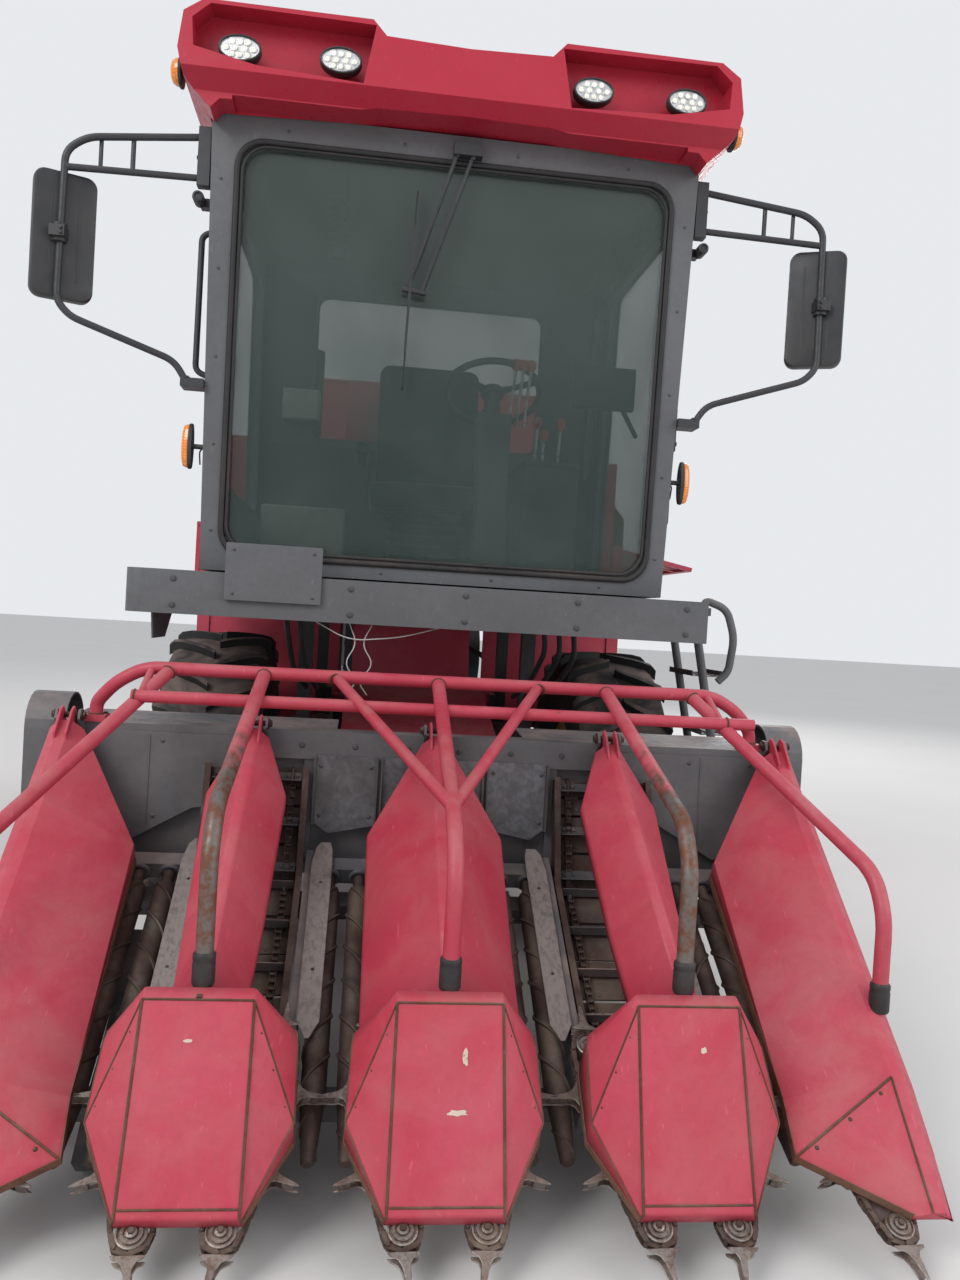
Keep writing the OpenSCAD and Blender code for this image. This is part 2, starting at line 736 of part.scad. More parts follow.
// Chassis: two beams, cross members, pivot towers, hitch
chassis_top = chassis_z + chassis_h;
module chassis_frame() {
    color(paint_grey) {
        mirrored_pair() {
            box(chassis_half - 40, chassis_half + 40, -1420, 3480, chassis_z, chassis_top);
            // Lift pivot towers
            difference() {
                side_profile(chassis_half - 40, chassis_half - 15, [
                    [lift_y - 100, chassis_top - 2], [lift_y + 120, chassis_top - 2],
                    [lift_y + 60, lift_z + 60], [lift_y - 60, lift_z + 60]]);
                x_cylinder(chassis_half - 50, chassis_half, lift_y, lift_z, 30.3);
            }
            // Hanger of the chopper's arms
            difference() {
                box(chassis_half, chassis_half + 20, chopper_pivot_y - 45, chopper_pivot_y + 45,
                    chopper_pivot_z - 45, chassis_z + 2);
                x_cylinder(chassis_half - 10, chassis_half + 30, chopper_pivot_y, chopper_pivot_z, 24.3);
            }
            // Lift cylinder anchor
            box(lift_x + 24, lift_x + 40, lift_base_y - 26, lift_base_y + 50, lift_base_z - 50, chassis_z + 20);
            box(lift_x + 24, chassis_half, lift_base_y - 26, lift_base_y + 50, chassis_z + 2, chassis_z + 20);
            x_cylinder(lift_x - 22, lift_x + 26, lift_base_y, lift_base_z, 20.2);
            // Cab posts
            box(chassis_half + 39, chassis_half + 100, -1400, -1340, chassis_z + 2, platform_z - 45.2);
            box(chassis_half - 14, chassis_half + 38, -960, -905, chassis_top - 1, platform_z - 45.2);
            // Tank posts
            for (y = [1430, 3380])
                box(chassis_half - 30, chassis_half + 30, y, y + 60, chassis_top, tank_floor_z - 90);
        }
        for (y = [-400, 200, tip_y[0] + 40, 2500, tip_y[1] + 40])
            box(-chassis_half, chassis_half, y, y + 80, chassis_z + 20, chassis_top - 20);
        // Tank rails
        for (y = [1430, 3380])
            box(-tank_half + 20, tank_hinge_x + 30, y, y + 60, tank_floor_z - 90, tank_floor_z - 20);
        // Tank hinge pins
        y_cylinder(1489, 1560, tank_hinge_x, tank_hinge_z, 14);
        y_cylinder(3310, 3381, tank_hinge_x, tank_hinge_z, 14);
        // Anchors of the tipping cylinders
        for (y = tip_y)
            box(tip_base[0] - 60, tip_base[0] + 60, y + 22.5, y + 42, chassis_z + 20, tip_base[1] + 60);
        // Hitch: two plates with a pin hole
        difference() {
            for (z = [chassis_z - 60, chassis_z + 40])
                box(-70, 70, 3400, 3880, z, z + 20);
            translate([0, hitch_y, chassis_z - 100]) cylinder(h = 300, r = hitch_r);
        }
        box(-90, 90, 3400, 3500, chassis_z - 60, chassis_z + 61);
    }
}
hitch_y = 3820;
hitch_r = 16;

module front_axle() {
    z = front_tyre_d / 2;
    hub_x = front_track / 2 - 130;
    color(paint_grey) {
        x_cylinder(-hub_x + 40, hub_x - 40, front_axle_y, z - 20, 64);
        translate([0, front_axle_y, z - 20]) rotate([0, 90, 0])
            translate([0, 0, -150]) cylinder(h = 300, r = 95);
        mirrored_pair() {
            x_cylinder(hub_x - 60, hub_x + 65.5, front_axle_y, z, 150);
            box(chassis_half - 40, chassis_half + 40, front_axle_y - 90, front_axle_y + 90, z + 20, chassis_z);
        }
    }
}

// Rear axle: centre-pivoted beam with forks for the kingpins
king_x = rear_track / 2 - 190;
module rear_axle() {
    z = rear_tyre_d / 2;
    color(paint_grey) {
        box(-king_x + 60, king_x - 60, rear_axle_y - 55, rear_axle_y + 55, z + 90, z + 210);
        mirrored_pair() {
            for (h = [z + 96, z - 150])
                box(king_x - 64, king_x + 45, rear_axle_y - 45, rear_axle_y + 45, h, h + 34);
            box(king_x - 64, king_x - 44, rear_axle_y - 26, rear_axle_y + 26, z - 150, z + 130);
        }
        y_cylinder(rear_axle_y - 160, rear_axle_y + 160, 0, z + 215, 45);
        for (y = [rear_axle_y - 150, rear_axle_y + 110]) {
            box(-110, 110, y, y + 40, z + 170, chassis_z + 60);
            box(-chassis_half + 40, chassis_half - 40, y, y + 40, chassis_z + 30, chassis_z + 110);
        }
    }
}

// Steering knuckle: kingpin, stub axle and steering arm; side is +1 on the left
steer_arm = 140;
module knuckle(side) {
    z = rear_tyre_d / 2;
    color(paint_grey) mirror([side < 0 ? 1 : 0, 0, 0]) {
        translate([king_x, rear_axle_y, z - 115.7]) cylinder(h = 211.4, r = 38);
        x_cylinder(king_x + 20, king_x + 155.5, rear_axle_y, z, 34);
        translate([king_x - 20, rear_axle_y - steer_arm, z - 60]) cube([40, steer_arm - 20, 24]);
        translate([king_x, rear_axle_y - steer_arm, z - 60]) cylinder(h = 24, r = 28);
    }
}
module knuckle_left() knuckle(1);
module knuckle_right() knuckle(-1);

module tie_rod() {
    z = rear_tyre_d / 2;
    color(paint_grey) {
        x_cylinder(-king_x + 26, king_x - 26, rear_axle_y - steer_arm, z - 88, 16);
        for (s = [-1, 1])
            translate([s * king_x, rear_axle_y - steer_arm, z - 108]) cylinder(h = 47.7, r = 26);
    }
}

// Wheels: a tyre is a revolved section with lugs, a rim is a revolved dish
module wheel_at(x, y, r) {
    translate([x, y, r]) rotate([0, 90, 0]) children();
}

// Half section of a tyre: tread, shoulder, side wall and bead
module tyre_body(d, w, rim_d) {
    r = d / 2;
    b = rim_d / 2;
    h = w / 2;
    rotate_extrude($fn = 64)
        polygon([[b, -h * 0.7], [b + 0.25 * (r - b), -h * 0.95], [b + 0.6 * (r - b), -h], [r - 55, -h * 0.93],
            [r - 34, -h * 0.78], [r - 26, 0], [r - 34, h * 0.78], [r - 55, h * 0.93],
            [b + 0.6 * (r - b), h], [b + 0.25 * (r - b), h * 0.95], [b, h * 0.7],
            [b + 30, h * 0.62], [b + 34, 0], [b + 30, -h * 0.62]]);
}

// Slanted tread bars, half of them on each side
module tyre_lugs(d, w, count) {
    r = d / 2;
    for (k = [0:count - 1]) for (s = [-1, 1])
        rotate([0, 0, 360 * (k + (s > 0 ? 0.5 : 0)) / count])
            translate([r - 46, 0, s * w * 0.245])
                rotate([s * 34, 0, 0])
                    translate([0, -16, -w * 0.26]) cube([46, 32, w * 0.5]);
}

module drive_tyre(side) {
    r = front_tyre_d / 2;
    color(rubber_black) wheel_at(side * front_track / 2, front_axle_y, r)
        difference() {
            union() {
                tyre_body(front_tyre_d, front_tyre_w, 640);
                tyre_lugs(front_tyre_d, front_tyre_w, 20);
            }
            // Trims the bars to the tyre's outer diameter
            rotate_extrude($fn = 64) translate([r, -front_tyre_w]) square([90, 2 * front_tyre_w]);
        }
}

module rim(d, w, dish) {
    r = d / 2;
    rotate_extrude($fn = 64)
        polygon([[r + 14, -w / 2], [r + 14, -w / 2 + 12], [r - 6, -w / 2 + 16], [r - 24, -w / 4],
            [r - 24, w / 4], [r - 6, w / 2 - 16], [r + 14, w / 2 - 12], [r + 14, w / 2], [r - 14, w / 2 - 4],
            [r - 34, w / 4 + 6], [r - 34, dish + 10], [r * 0.66, dish + 44], [r * 0.4, dish + 10], [0, dish + 10],
            [0, dish - 4], [r * 0.42, dish - 4], [r * 0.64, dish + 30], [r - 34, dish - 6], [r - 34, -w / 4 - 6],
            [r - 14, -w / 2 + 4]]);
}

module wheel_rim(side, track, y, d, rim_d, tyre_w, dish, hub_r, hub_h) {
    color([0.78, 0.62, 0.1]) translate([side * track / 2, y, d / 2]) rotate([0, side * 90, 0]) {
        rim(rim_d, 2 * (0.35 * tyre_w + 12.3), dish);
        translate([0, 0, dish - 4]) cylinder(h = hub_h, r = hub_r);
    }
}
module front_rim(side) wheel_rim(side, front_track, front_axle_y, front_tyre_d, 612, front_tyre_w, -60, 95, 60);
module rear_rim(side) wheel_rim(side, rear_track, rear_axle_y, rear_tyre_d, 366, rear_tyre_w, -30, 70, 76);

module front_tyre_left() drive_tyre(1);
module front_tyre_right() drive_tyre(-1);
module front_rim_left() front_rim(1);
module front_rim_right() front_rim(-1);

module steer_tyre(side) {
    r = rear_tyre_d / 2;
    color(rubber_black) wheel_at(side * rear_track / 2, rear_axle_y, r)
        difference() {
            tyre_body(rear_tyre_d + 36, rear_tyre_w, 394);
            for (z = [-62, 0, 62])
                rotate_extrude($fn = 64) translate([r - 20, z - 9]) square([60, 18]);
            rotate_extrude($fn = 64) translate([r, -rear_tyre_w]) square([90, 2 * rear_tyre_w]);
        }
}
module rear_tyre_left() steer_tyre(1);
module rear_tyre_right() steer_tyre(-1);
module rear_rim_left() rear_rim(1);
module rear_rim_right() rear_rim(-1);

// Platform: floor, front beam with a turned right-hand end, plate bracket
module platform() {
    beam_z = platform_z - platform_beam_h + 5;
    color(paint_grey) {
        difference() {
            box(platform_right + 30, platform_left, platform_front + 8, cab_back + 20, platform_z - 45, platform_z);
            box(-body_half, body_half, cab_back - 10, cab_back + 40, platform_z - 60, platform_z + 10);
        }
        box(platform_right + 60, platform_left, platform_front, platform_front + 8, beam_z, platform_z + 5);
        // Turned end
        translate([platform_right + 60, platform_front + 60, beam_z])
            difference() {
                cylinder(h = platform_beam_h, r = 60);
                translate([0, 0, -1]) cylinder(h = platform_beam_h + 2, r = 52);
                translate([0, -70, -1]) cube([80, 140, platform_beam_h + 2]);
                translate([-70, 0, -1]) cube([160, 80, platform_beam_h + 2]);
            }
        box(platform_right, platform_right + 8, platform_front + 60, platform_front + 420, beam_z, platform_z + 5);
        box(platform_right + 30, platform_left, platform_front + 8, platform_front + 60, beam_z, beam_z + 8);
        // Pads under the cab
        for (x = [-700, 620]) for (y = [-2200, -960])
            box(x, x + 80, y, y + 80, platform_z - 1, cab_floor_z - 0.2);
        // Gussets under the right-hand end
        side_profile(-980, -974, [[platform_front + 60, beam_z + 2], [platform_front + 420, beam_z + 2],
            [platform_front + 300, beam_z - 90], [platform_front + 90, beam_z - 90]]);
        // Blank plate on the beam's front
        box(-725, -405, platform_front - 12, platform_front, platform_z - 85, platform_z + 105);
    }
}

// Ladder at the left of the platform
module ladder() {
    x0 = max(platform_left + 20, (front_track + front_tyre_w) / 2 - 70);
    x1 = x0 + 200;
    color(paint_grey) {
        for (y = [-2030, -1720]) {
            tube_path([[x0 + 30, y, platform_z - 20], [x0 + 60, y, platform_z - 60], [x1 + 60, y, 520]], 17);
        }
        for (k = [0:3])
            box(x0 + 62 + 52 * k, x0 + 62 + 52 * k + 150, -2026, -1724, 560 + 235 * (3 - k), 582 + 235 * (3 - k));
        // Landing between the ladder and the platform
        box(platform_left, x0 + 60, -2210, -1700, platform_z - 40, platform_z - 10);
        // Hand loop in front of the steps
        tube_path([[x0 + 40, -2190, platform_z - 30], [x0 + 40, -2190, platform_z + 20],
            [x0 + 130, -2190, platform_z - 10], [x0 + 165, -2190, platform_z - 120],
            [x0 + 150, -2190, platform_z - 250], [x0 + 110, -2190, platform_z - 290]], 15);
    }
}

// Cab: floor, leaning front frame, side and rear walls
function cab_x(z) = cab_half + 25 * (z - cab_floor_z) / (cab_top_z - cab_floor_z);
function cab_y(z) = cab_front - cab_lean * (z - cab_floor_z) / (cab_top_z - cab_floor_z);
cab_side = [[cab_front, cab_floor_z], [cab_front - cab_lean, cab_top_z], [cab_back, cab_top_z],
    [cab_back, cab_floor_z]];
door_front = cab_front + 90;
door_back = cab_back - 330;
door_low = cab_floor_z + 50;
door_high = cab_top_z - 100;
module cab_shell(t) {
    loft([
        [[-cab_half + t, cab_front + t, cab_floor_z + t], [cab_half - t, cab_front + t, cab_floor_z + t],
            [cab_half - t, cab_back - t, cab_floor_z + t], [-cab_half + t, cab_back - t, cab_floor_z + t]],
        [[-cab_half - 25 + t, cab_front - cab_lean + t, cab_top_z - t],
            [cab_half + 25 - t, cab_front - cab_lean + t, cab_top_z - t],
            [cab_half + 25 - t, cab_back - t, cab_top_z - t], [-cab_half - 25 + t, cab_back - t, cab_top_z - t]]
    ]);
}

// Window cut-outs, each a y,z or x,z outline
windscreen = round_rect(-762, 762, cab_floor_z + 62, cab_top_z - 100, 90);
side_window = round_rect(cab_front + 100, cab_back - 120, cab_floor_z + 330, cab_top_z - 130, 60);
rear_window = round_rect(-560, 560, cab_floor_z + 720, cab_top_z - 150, 60);
door_hole = round_rect(door_front - 20, door_back + 20, door_low - 20, door_high + 20, 60);
rear_quarter = round_rect(door_back + 90, cab_back - 60, cab_floor_z + 600, cab_top_z - 130, 40);
module cab_frame() {
    color(paint_grey)
        difference() {
            cab_shell(0);
            cab_shell(45);
            front_profile(cab_front - 200, cab_front + 60, windscreen);
            side_profile(-cab_half - 100, -cab_half + 60, side_window);
            front_profile(cab_back - 80, cab_back + 60, rear_window);
            side_profile(cab_half - 80, cab_half + 100, door_hole);
            side_profile(cab_half - 80, cab_half + 100, rear_quarter);
        }
    color(paint_grey) door_hinges(60.3, 0, 26);
}

// Panes, set just inside each window's edge
module cab_glass() {
    gap = 0.3;
    color([0.35, 0.45, 0.42, 0.5]) {
        // Windscreen, leaning with the front
        intersection() {
            front_profile(cab_front - 200, cab_front + 60, round_rect(-762 + gap, 762 - gap,
                cab_floor_z + 62 + gap, cab_top_z - 100 - gap, 90 - gap));
            side_profile(-900, 900, [[cab_front + 14, cab_floor_z], [cab_front + 14 - cab_lean, cab_top_z],
                [cab_front + 14 + glass_t - cab_lean, cab_top_z], [cab_front + 14 + glass_t, cab_floor_z]]);
        }
        intersection() {
            side_profile(-cab_half - 100, -cab_half + 100, round_rect(cab_front + 100 + gap, cab_back - 120 - gap,
                cab_floor_z + 330 + gap, cab_top_z - 130 - gap, 60 - gap));
            front_profile(cab_front, cab_back, [[-cab_half + 16, cab_floor_z], [-cab_half - 9, cab_top_z],
                [-cab_half - 9 + glass_t, cab_top_z], [-cab_half + 16 + glass_t, cab_floor_z]]);
        }
        front_profile(cab_back - 24, cab_back - 24 + glass_t, round_rect(-560 + gap, 560 - gap,
            cab_floor_z + 720 + gap, cab_top_z - 150 - gap, 60 - gap));
        intersection() {
            side_profile(cab_half - 100, cab_half + 100, round_rect(door_back + 90 + gap, cab_back - 60 - gap,
                cab_floor_z + 600 + gap, cab_top_z - 130 - gap, 40 - gap));
            front_profile(cab_front, cab_back, [[cab_half - 16, cab_floor_z], [cab_half + 9, cab_top_z],
                [cab_half + 9 - glass_t, cab_top_z], [cab_half - 16 - glass_t, cab_floor_z]]);
        }
    }
}

// Door: a frame that follows the cab's slanted side
module door_slab(outline, inset, t) {
    intersection() {
        side_profile(cab_half - 120, cab_half + 120, outline);
        front_profile(door_front - 60, door_back + 60, [
            [cab_half - inset, cab_floor_z], [cab_half + 25 - inset, cab_top_z],
            [cab_half + 25 - inset - t, cab_top_z], [cab_half - inset - t, cab_floor_z]]);
    }
}
// Hinge leaves on one side of the door's axis, at a height offset
module door_hinges(dz, y0, y1) {
    for (z = [cab_floor_z + 240, cab_top_z - 330]) {
        box(cab_half + 2, door_axis[0] + 1, door_axis[1] + y0, door_axis[1] + y1, z + dz, z + dz + 60);
        translate([door_axis[0], door_axis[1], z + dz]) cylinder(h = 60, r = 9);
    }
}
door_axis = [cab_half + 31, door_back + 14];
module door_frame() {
    color(paint_grey) {
        difference() {
            door_slab(round_rect(door_front - 12, door_back + 12, door_low - 12, door_high + 12, 54), 0, 38);
            side_profile(cab_half - 120, cab_half + 120,
                round_rect(door_front + 50, door_back - 50, door_low + 60, door_high - 50, 50));
        }
        door_hinges(0, -20, 0);
        // Outer handle
        box(cab_half + 12, cab_half + 40, door_front + 4, door_front + 34, cab_floor_z + 560, cab_floor_z + 720);
    }
}
module door_glass() {
    color([0.35, 0.45, 0.42, 0.5])
        door_slab(round_rect(door_front + 50.3, door_back - 50.3, door_low + 60.3, door_high - 50.3, 49.7), 14, glass_t);
}

// Roof: one moulding with two raised lamp pods
roof_front_outline = [
    // x, z, right half, from the centre outwards
    [0, 3140], [300, 3136], [360, 3128], [820, 3112], [850, 3080], [roof_half - 20, 3160], [roof_half, 3240],
    [roof_half - 10, 3370], [860, roof_top_z - 14], [700, roof_top_z], [350, roof_top_z - 6], [282, 3366], [0, 3356]
];
lamp_pocket = [[318, 3400], [860, 3406], [915, 3350], [905, 3250], [700, 3205], [350, 3186]];
module cab_roof() {
    outline = concat(roof_front_outline, [for (i = [len(roof_front_outline) - 2:-1:1])
        [-roof_front_outline[i][0], roof_front_outline[i][1]]]);
    color(paint_red)
        difference() {
            intersection() {
                front_profile(roof_front, cab_back + 60, outline);
                side_profile(-roof_half - 10, roof_half + 10, [
                    [roof_front + 60, 3060], [roof_front + 60, 3132], [roof_front, 3180], [roof_front + 40, 3420],
                    [roof_front + 160, roof_top_z + 10], [cab_back - 200, 3400], [cab_back + 60, 3300],
                    [cab_back + 60, 3060]]);
            }
            // Room for the cab's top
            side_profile(-cab_half - 30, cab_half + 30, [[cab_front - cab_lean - 6, 3000],
                [cab_front - cab_lean - 6, cab_top_z + 0.3], [cab_back + 6, cab_top_z + 0.3], [cab_back + 6, 3000]]);
            // Underside sloping up to the roof's front edge
            side_profile(-780, 780, [[roof_front - 20, 3000], [roof_front - 20, 3132],
                [cab_front - cab_lean - 7, 3122], [cab_front - cab_lean - 7, 3000]]);
            for (s = [0, 1]) mirror([s, 0, 0])
                front_profile(roof_front - 20, roof_front + 120, lamp_pocket);
        }
}

// Lamps: four oval work lamps, turn lamps, side lamps and rear lamps
work_lamp_x = [430, 760];
module lamps() {
    color([0.9, 0.88, 0.8]) mirrored_pair() {
        for (x = work_lamp_x) {
            translate([x, roof_front + 62, 3268]) rotate([90, 0, 0]) {
                linear_extrude(34) polygon([for (a = [0:15:345]) [70 * cos(a), 46 * sin(a)]]);
                translate([0, -18, -40]) cylinder(h = 44, r = 22);
            }
            translate([x - 10, roof_front + 60, 3258]) cube([20, 59.7, 20]);
        }
        // Amber lamps on the roof's ends
        translate([roof_half + 0.3, roof_front + 130, 3215]) rotate([0, 90, 0]) cylinder(h = 38, r1 = 46, r2 = 26);
        // Turn lamps on stalks beside the windscreen
        x_cylinder(cab_half + 7.2, cab_half + 52, cab_front + 20, 1990, 9);
        translate([cab_half + 48, cab_front + 20, 1990]) rotate([0, 90, 0])
            linear_extrude(34) polygon([for (a = [0:15:345]) [76 * cos(a), 28 * sin(a)]]);
        // Rear lamps
        box(860, 1000, 3440.2, 3470, tank_floor_z - 85, tank_floor_z - 25);
    }
}

module wipers() {
    y = cab_front - 24;
    function on_glass(x, z) = [x, cab_y(z) - 26, z];
    color(rubber_black) {
        tube(on_glass(-10, 3075), on_glass(-165, 2580), 9);
        tube(on_glass(45, 3070), on_glass(-115, 2570), 9);
        tube(on_glass(-182, 2578), on_glass(-98, 2570), 11);
        tube(on_glass(-150, 2920), on_glass(-165, 2240), 8);
        translate([-30, cab_y(3075) - 41.5, 3050]) cube([100, 40, 46]);
    }
}

// Mirrors: two-tube upper arms, a lower stay and a tall housing
module mirror_arm() {
    y0 = cab_front - 40;
    y1 = cab_front - 120;
    x0 = cab_half + 14;
    tube_path([[x0 + 40, y0, 3040], [1250, y1, 2965], [1318, y1, 2915], [1325, y1, 2420], [1280, y1, 2370],
        [950, y0, 2270], [905, y0, 2200]], 12);
    tube([x0 + 40, y0, 2900], [1320, y1, 2860], 12);
    tube([1110, cab_front - 82, 2880], [1110, cab_front - 82, 3000], 9);
    box(x0 + 12, x0 + 54, y0 - 20, y0 + 20, 2870, 3070);
    box(cab_half + 24.2, x0 + 13, y0 - 10, cab_front + 40, 2880, 3060);
    box(cab_half + 10.7, 925, y0 - 12, cab_front + 30, 2185, 2215);
    // Housing behind the tube
    translate([1325, y1 + 40, 2640]) rotate([0, 0, -24])
        rotate([90, 0, 0]) translate([0, 0, -30]) linear_extrude(58)
            polygon(round_rect(-100, 100, -210, 210, 36));
    translate([1325, y1, 2610]) cylinder(h = 60, r = 24);
    // Side camera
    y_cylinder(cab_front - 70, cab_front - 10, cab_half + 60, 2830, 20);
    box(cab_half + 20.8, cab_half + 60, cab_front - 11, cab_front + 30, 2815, 2845);
}
module mirrors() {
    color(rubber_black) mirrored_pair() mirror_arm();
}

module cab_seat() {
    color([0.12, 0.12, 0.13]) {
        box(-180, 180, -1560, -1240, cab_floor_z + 45, cab_floor_z + 330);
        translate([-260, -1640, cab_floor_z + 330]) cube([520, 500, 120]);
        side_profile(-250, 250, [[-1190, cab_floor_z + 440], [-1100, cab_floor_z + 440], [-1000, cab_floor_z + 1060],
            [-1080, cab_floor_z + 1080]]);
        for (s = [-1, 1]) {
            box(s * 300 - 30, s * 300 + 30, -1560, -1180, cab_floor_z + 560, cab_floor_z + 620);
            box(s * 265 - 5, s * 265 + 5, -1260, -1200, cab_floor_z + 380, cab_floor_z + 562);
        }
    }
}

module steering_console() {
    color([0.16, 0.17, 0.18]) {
        side_profile(140, 280, [[-2120, cab_floor_z + 45], [-1940, cab_floor_z + 45], [-1900, cab_floor_z + 640],
            [-2010, cab_floor_z + 690]]);
        tube([210, -1960, cab_floor_z + 640], [210, -1880, cab_floor_z + 790], 26);
        translate([210, -1880, cab_floor_z + 790]) rotate([-28, 0, 0]) {
            rotate_extrude($fn = 48)
                polygon([for (a = [0:45:315]) [190 + 14 * cos(a + 10), 14 * sin(a + 10)]]);
            for (a = [97, 213, 331]) rotate([0, 0, a]) translate([-10, -12, -7]) cube([198, 24, 11]);
        }
        // Side console with levers
        box(380, 620, -1700, -1180, cab_floor_z + 45, cab_floor_z + 560);
        for (x = [440, 540])
            tube([x, -1600, cab_floor_z + 555], [x, -1640, cab_floor_z + 720], 10);
    }
}

// Body between cab and ear tank: posts, sheets and rails
module body_panels() {
    color(paint_red) {
        mirrored_pair() {
            // Corner posts and rails round the side opening
            for (y = [body_front, body_back - 60])
                box(body_half - 60, body_half, y, y + 60, 960, body_top + 40);
            box(body_half - 60, body_half, body_front, body_back, body_top, body_top + 40);
            // Hinge pin of the side cover
            y_cylinder(body_front + 1, body_back - 1, cover_x, cover_z, 5);
            for (y = [body_front + 1, body_back - 9])
                box(body_half - 1, cover_x + 8, y, y + 8, cover_z - 8, cover_z + 8);
            // Lower fixed side panel
            difference() {
                box(body_half - 8, body_half - 1, body_front + 58, body_back - 58, 970, body_top - cover_h - 8);
                for (k = [0:4])
                    box(body_half - 20, body_half + 10, 120 + 90 * k, 160 + 90 * k, 1090, 1330);
            }
            // Upper sheet sloping in to the husker
            side_to_husker();
            // Front sheets beside the elevator
            box(370, body_half - 58, body_front + 10, body_front + 16, 962, 2300);
            // Floor brackets from the chassis
            for (y = [body_front + 61, body_back - 121])
                box(chassis_half + 40, body_half - 7, y, y + 60, chassis_top - 60, chassis_top + 40);
        }
    }
}
module side_to_husker() {
    front_profile(body_front + 8, body_back - 2, [[body_half - 8, body_top + 38], [body_half - 2, body_top + 38],
        [body_half - 2, 2010], [760, 2420], [752, 2416], [body_half - 8, 2006]]);
}

// A side cover with a turned lower edge, drawn closed; hinge along its top
cover_x = body_half + 17;
cover_z = body_top + 12;
module side_cover() {
    t = 22;
    difference() {
        box(cover_x - 12, cover_x - 12 + t, body_front + 12, body_back - 12, cover_z - cover_h, cover_z - 9);
        box(cover_x - 13, cover_x + 4, body_front + 36, body_back - 36, cover_z - cover_h + 24, cover_z - 34);
    }
    difference() {
        y_cylinder(body_front + 12, body_back - 12, cover_x, cover_z, 11);
        y_cylinder(body_front, body_back, cover_x, cover_z, 5.3);
    }
}
module cover_right() color(paint_red) mirror([1, 0, 0]) side_cover();
module cover_left() color(paint_red)
    translate([cover_x, 0, cover_z]) rotate([0, -cover_open, 0]) translate([-cover_x, 0, -cover_z]) side_cover();

module engine() {
    color([0.2, 0.3, 0.35]) {
        box(-360, 360, 250, 1150, 960, 1560);
        box(-300, 300, 330, 1080, 1560, 1660);
        x_cylinder(360, 470, 520, 1200, 210);
        for (y = [340, 980])
            box(-460, 460, y, y + 80, chassis_top + 0.2, 970);
    }
}

module radiator() {
    color([0.15, 0.15, 0.16]) {
        box(110 - body_half, 210 - body_half, 300, 1120, 1000, 1740);
        x_cylinder(210 - body_half, 230 - body_half, 710, 1370, 300);
        for (y = [460, 880])
            box(110 - body_half, -410, y, y + 60, chassis_top + 0.2, 1001);
    }
}

module fuel_tank() {
    color([0.2, 0.2, 0.22]) {
        side_profile(520, body_half - 130, round_rect(-560, 140, 1010, 1400, 60));
        for (y = [-480, 20])
            box(410, body_half - 110, y, y + 60, chassis_top + 0.2, 1011);
        translate([860, -420, 1399]) cylinder(h = 40, r = 45);
    }
}

// Ear elevator behind the cab, rising to the husker
elev_low = [-640, 1020];
elev_high = [80, 2560];
elev_angle = atan2(elev_high[1] - elev_low[1], elev_high[0] - elev_low[0]);
elev_len = norm(elev_high - elev_low);
module ear_elevator() {
    w = 600;
    h = 320;
    color(paint_red)
        translate([0, elev_low[0], elev_low[1]]) rotate([elev_angle, 0, 0])
            difference() {
                union() {
                    translate([-w / 2, -40, -h / 2]) cube([w, elev_len + 60, h]);
                    for (k = [1:4])
                        translate([-w / 2 - 8, k * elev_len / 5, -h / 2 - 8]) cube([w + 16, 30, h + 16]);
                }
                translate([-w / 2 + 6, -50, -h / 2 + 6]) cube([w - 12, elev_len + 200, h - 12]);
            }
    color(paint_red) mirrored_pair()
        box(w / 2 - 1, chassis_half + 30, -580, -520, chassis_top + 0.2, 1060);
}

// Husker: a hopper box over inclined husking rolls
module husker() {
    color(paint_red) {
        difference() {
            side_profile(-740, 740, [[260, 1980], [1330, 1760], [1330, 2330], [1200, 2480], [260, 2480]]);
            side_profile(-734, 734, [[230, 1990], [1340, 1768], [1350, 2324], [1198, 2474], [230, 2474]]);
        }
        for (k = [-6:6])
            translate([k * 110, 280, 2030]) rotate([-102, 0, 0]) cylinder(h = 1000, r = 38);
        // Husk fan on top
        difference() {
            x_cylinder(-430, 430, 640, 2690, 230);
            x_cylinder(-424, 424, 640, 2690, 224);
            box(-400, 400, 500, 780, 2400, 2520);
        }
        for (x = [-432, 400])
            box(x, x + 32, 480, 800, 2476, 2560);
        mirrored_pair() {
            box(700, 740, 300, 360, body_top + 38, 2000);
            box(700, 740, 1215, 1275, body_top - 20, 2000);
            box(700, body_half - 60.2, 300, 360, body_top, body_top + 40);
            box(700, body_half - 60.2, 1215, 1275, body_top, body_top + 40);
        }
    }
}

module exhaust() {
    color([0.25, 0.22, 0.2]) {
        tube_path([[-360.3, 420, 1500], [-620, 420, 1500], [-620, -450, 1500], [-620, -450, 2940]], 45);
        translate([-620, -450, 2250]) cylinder(h = 560, r = 85);
    }
}

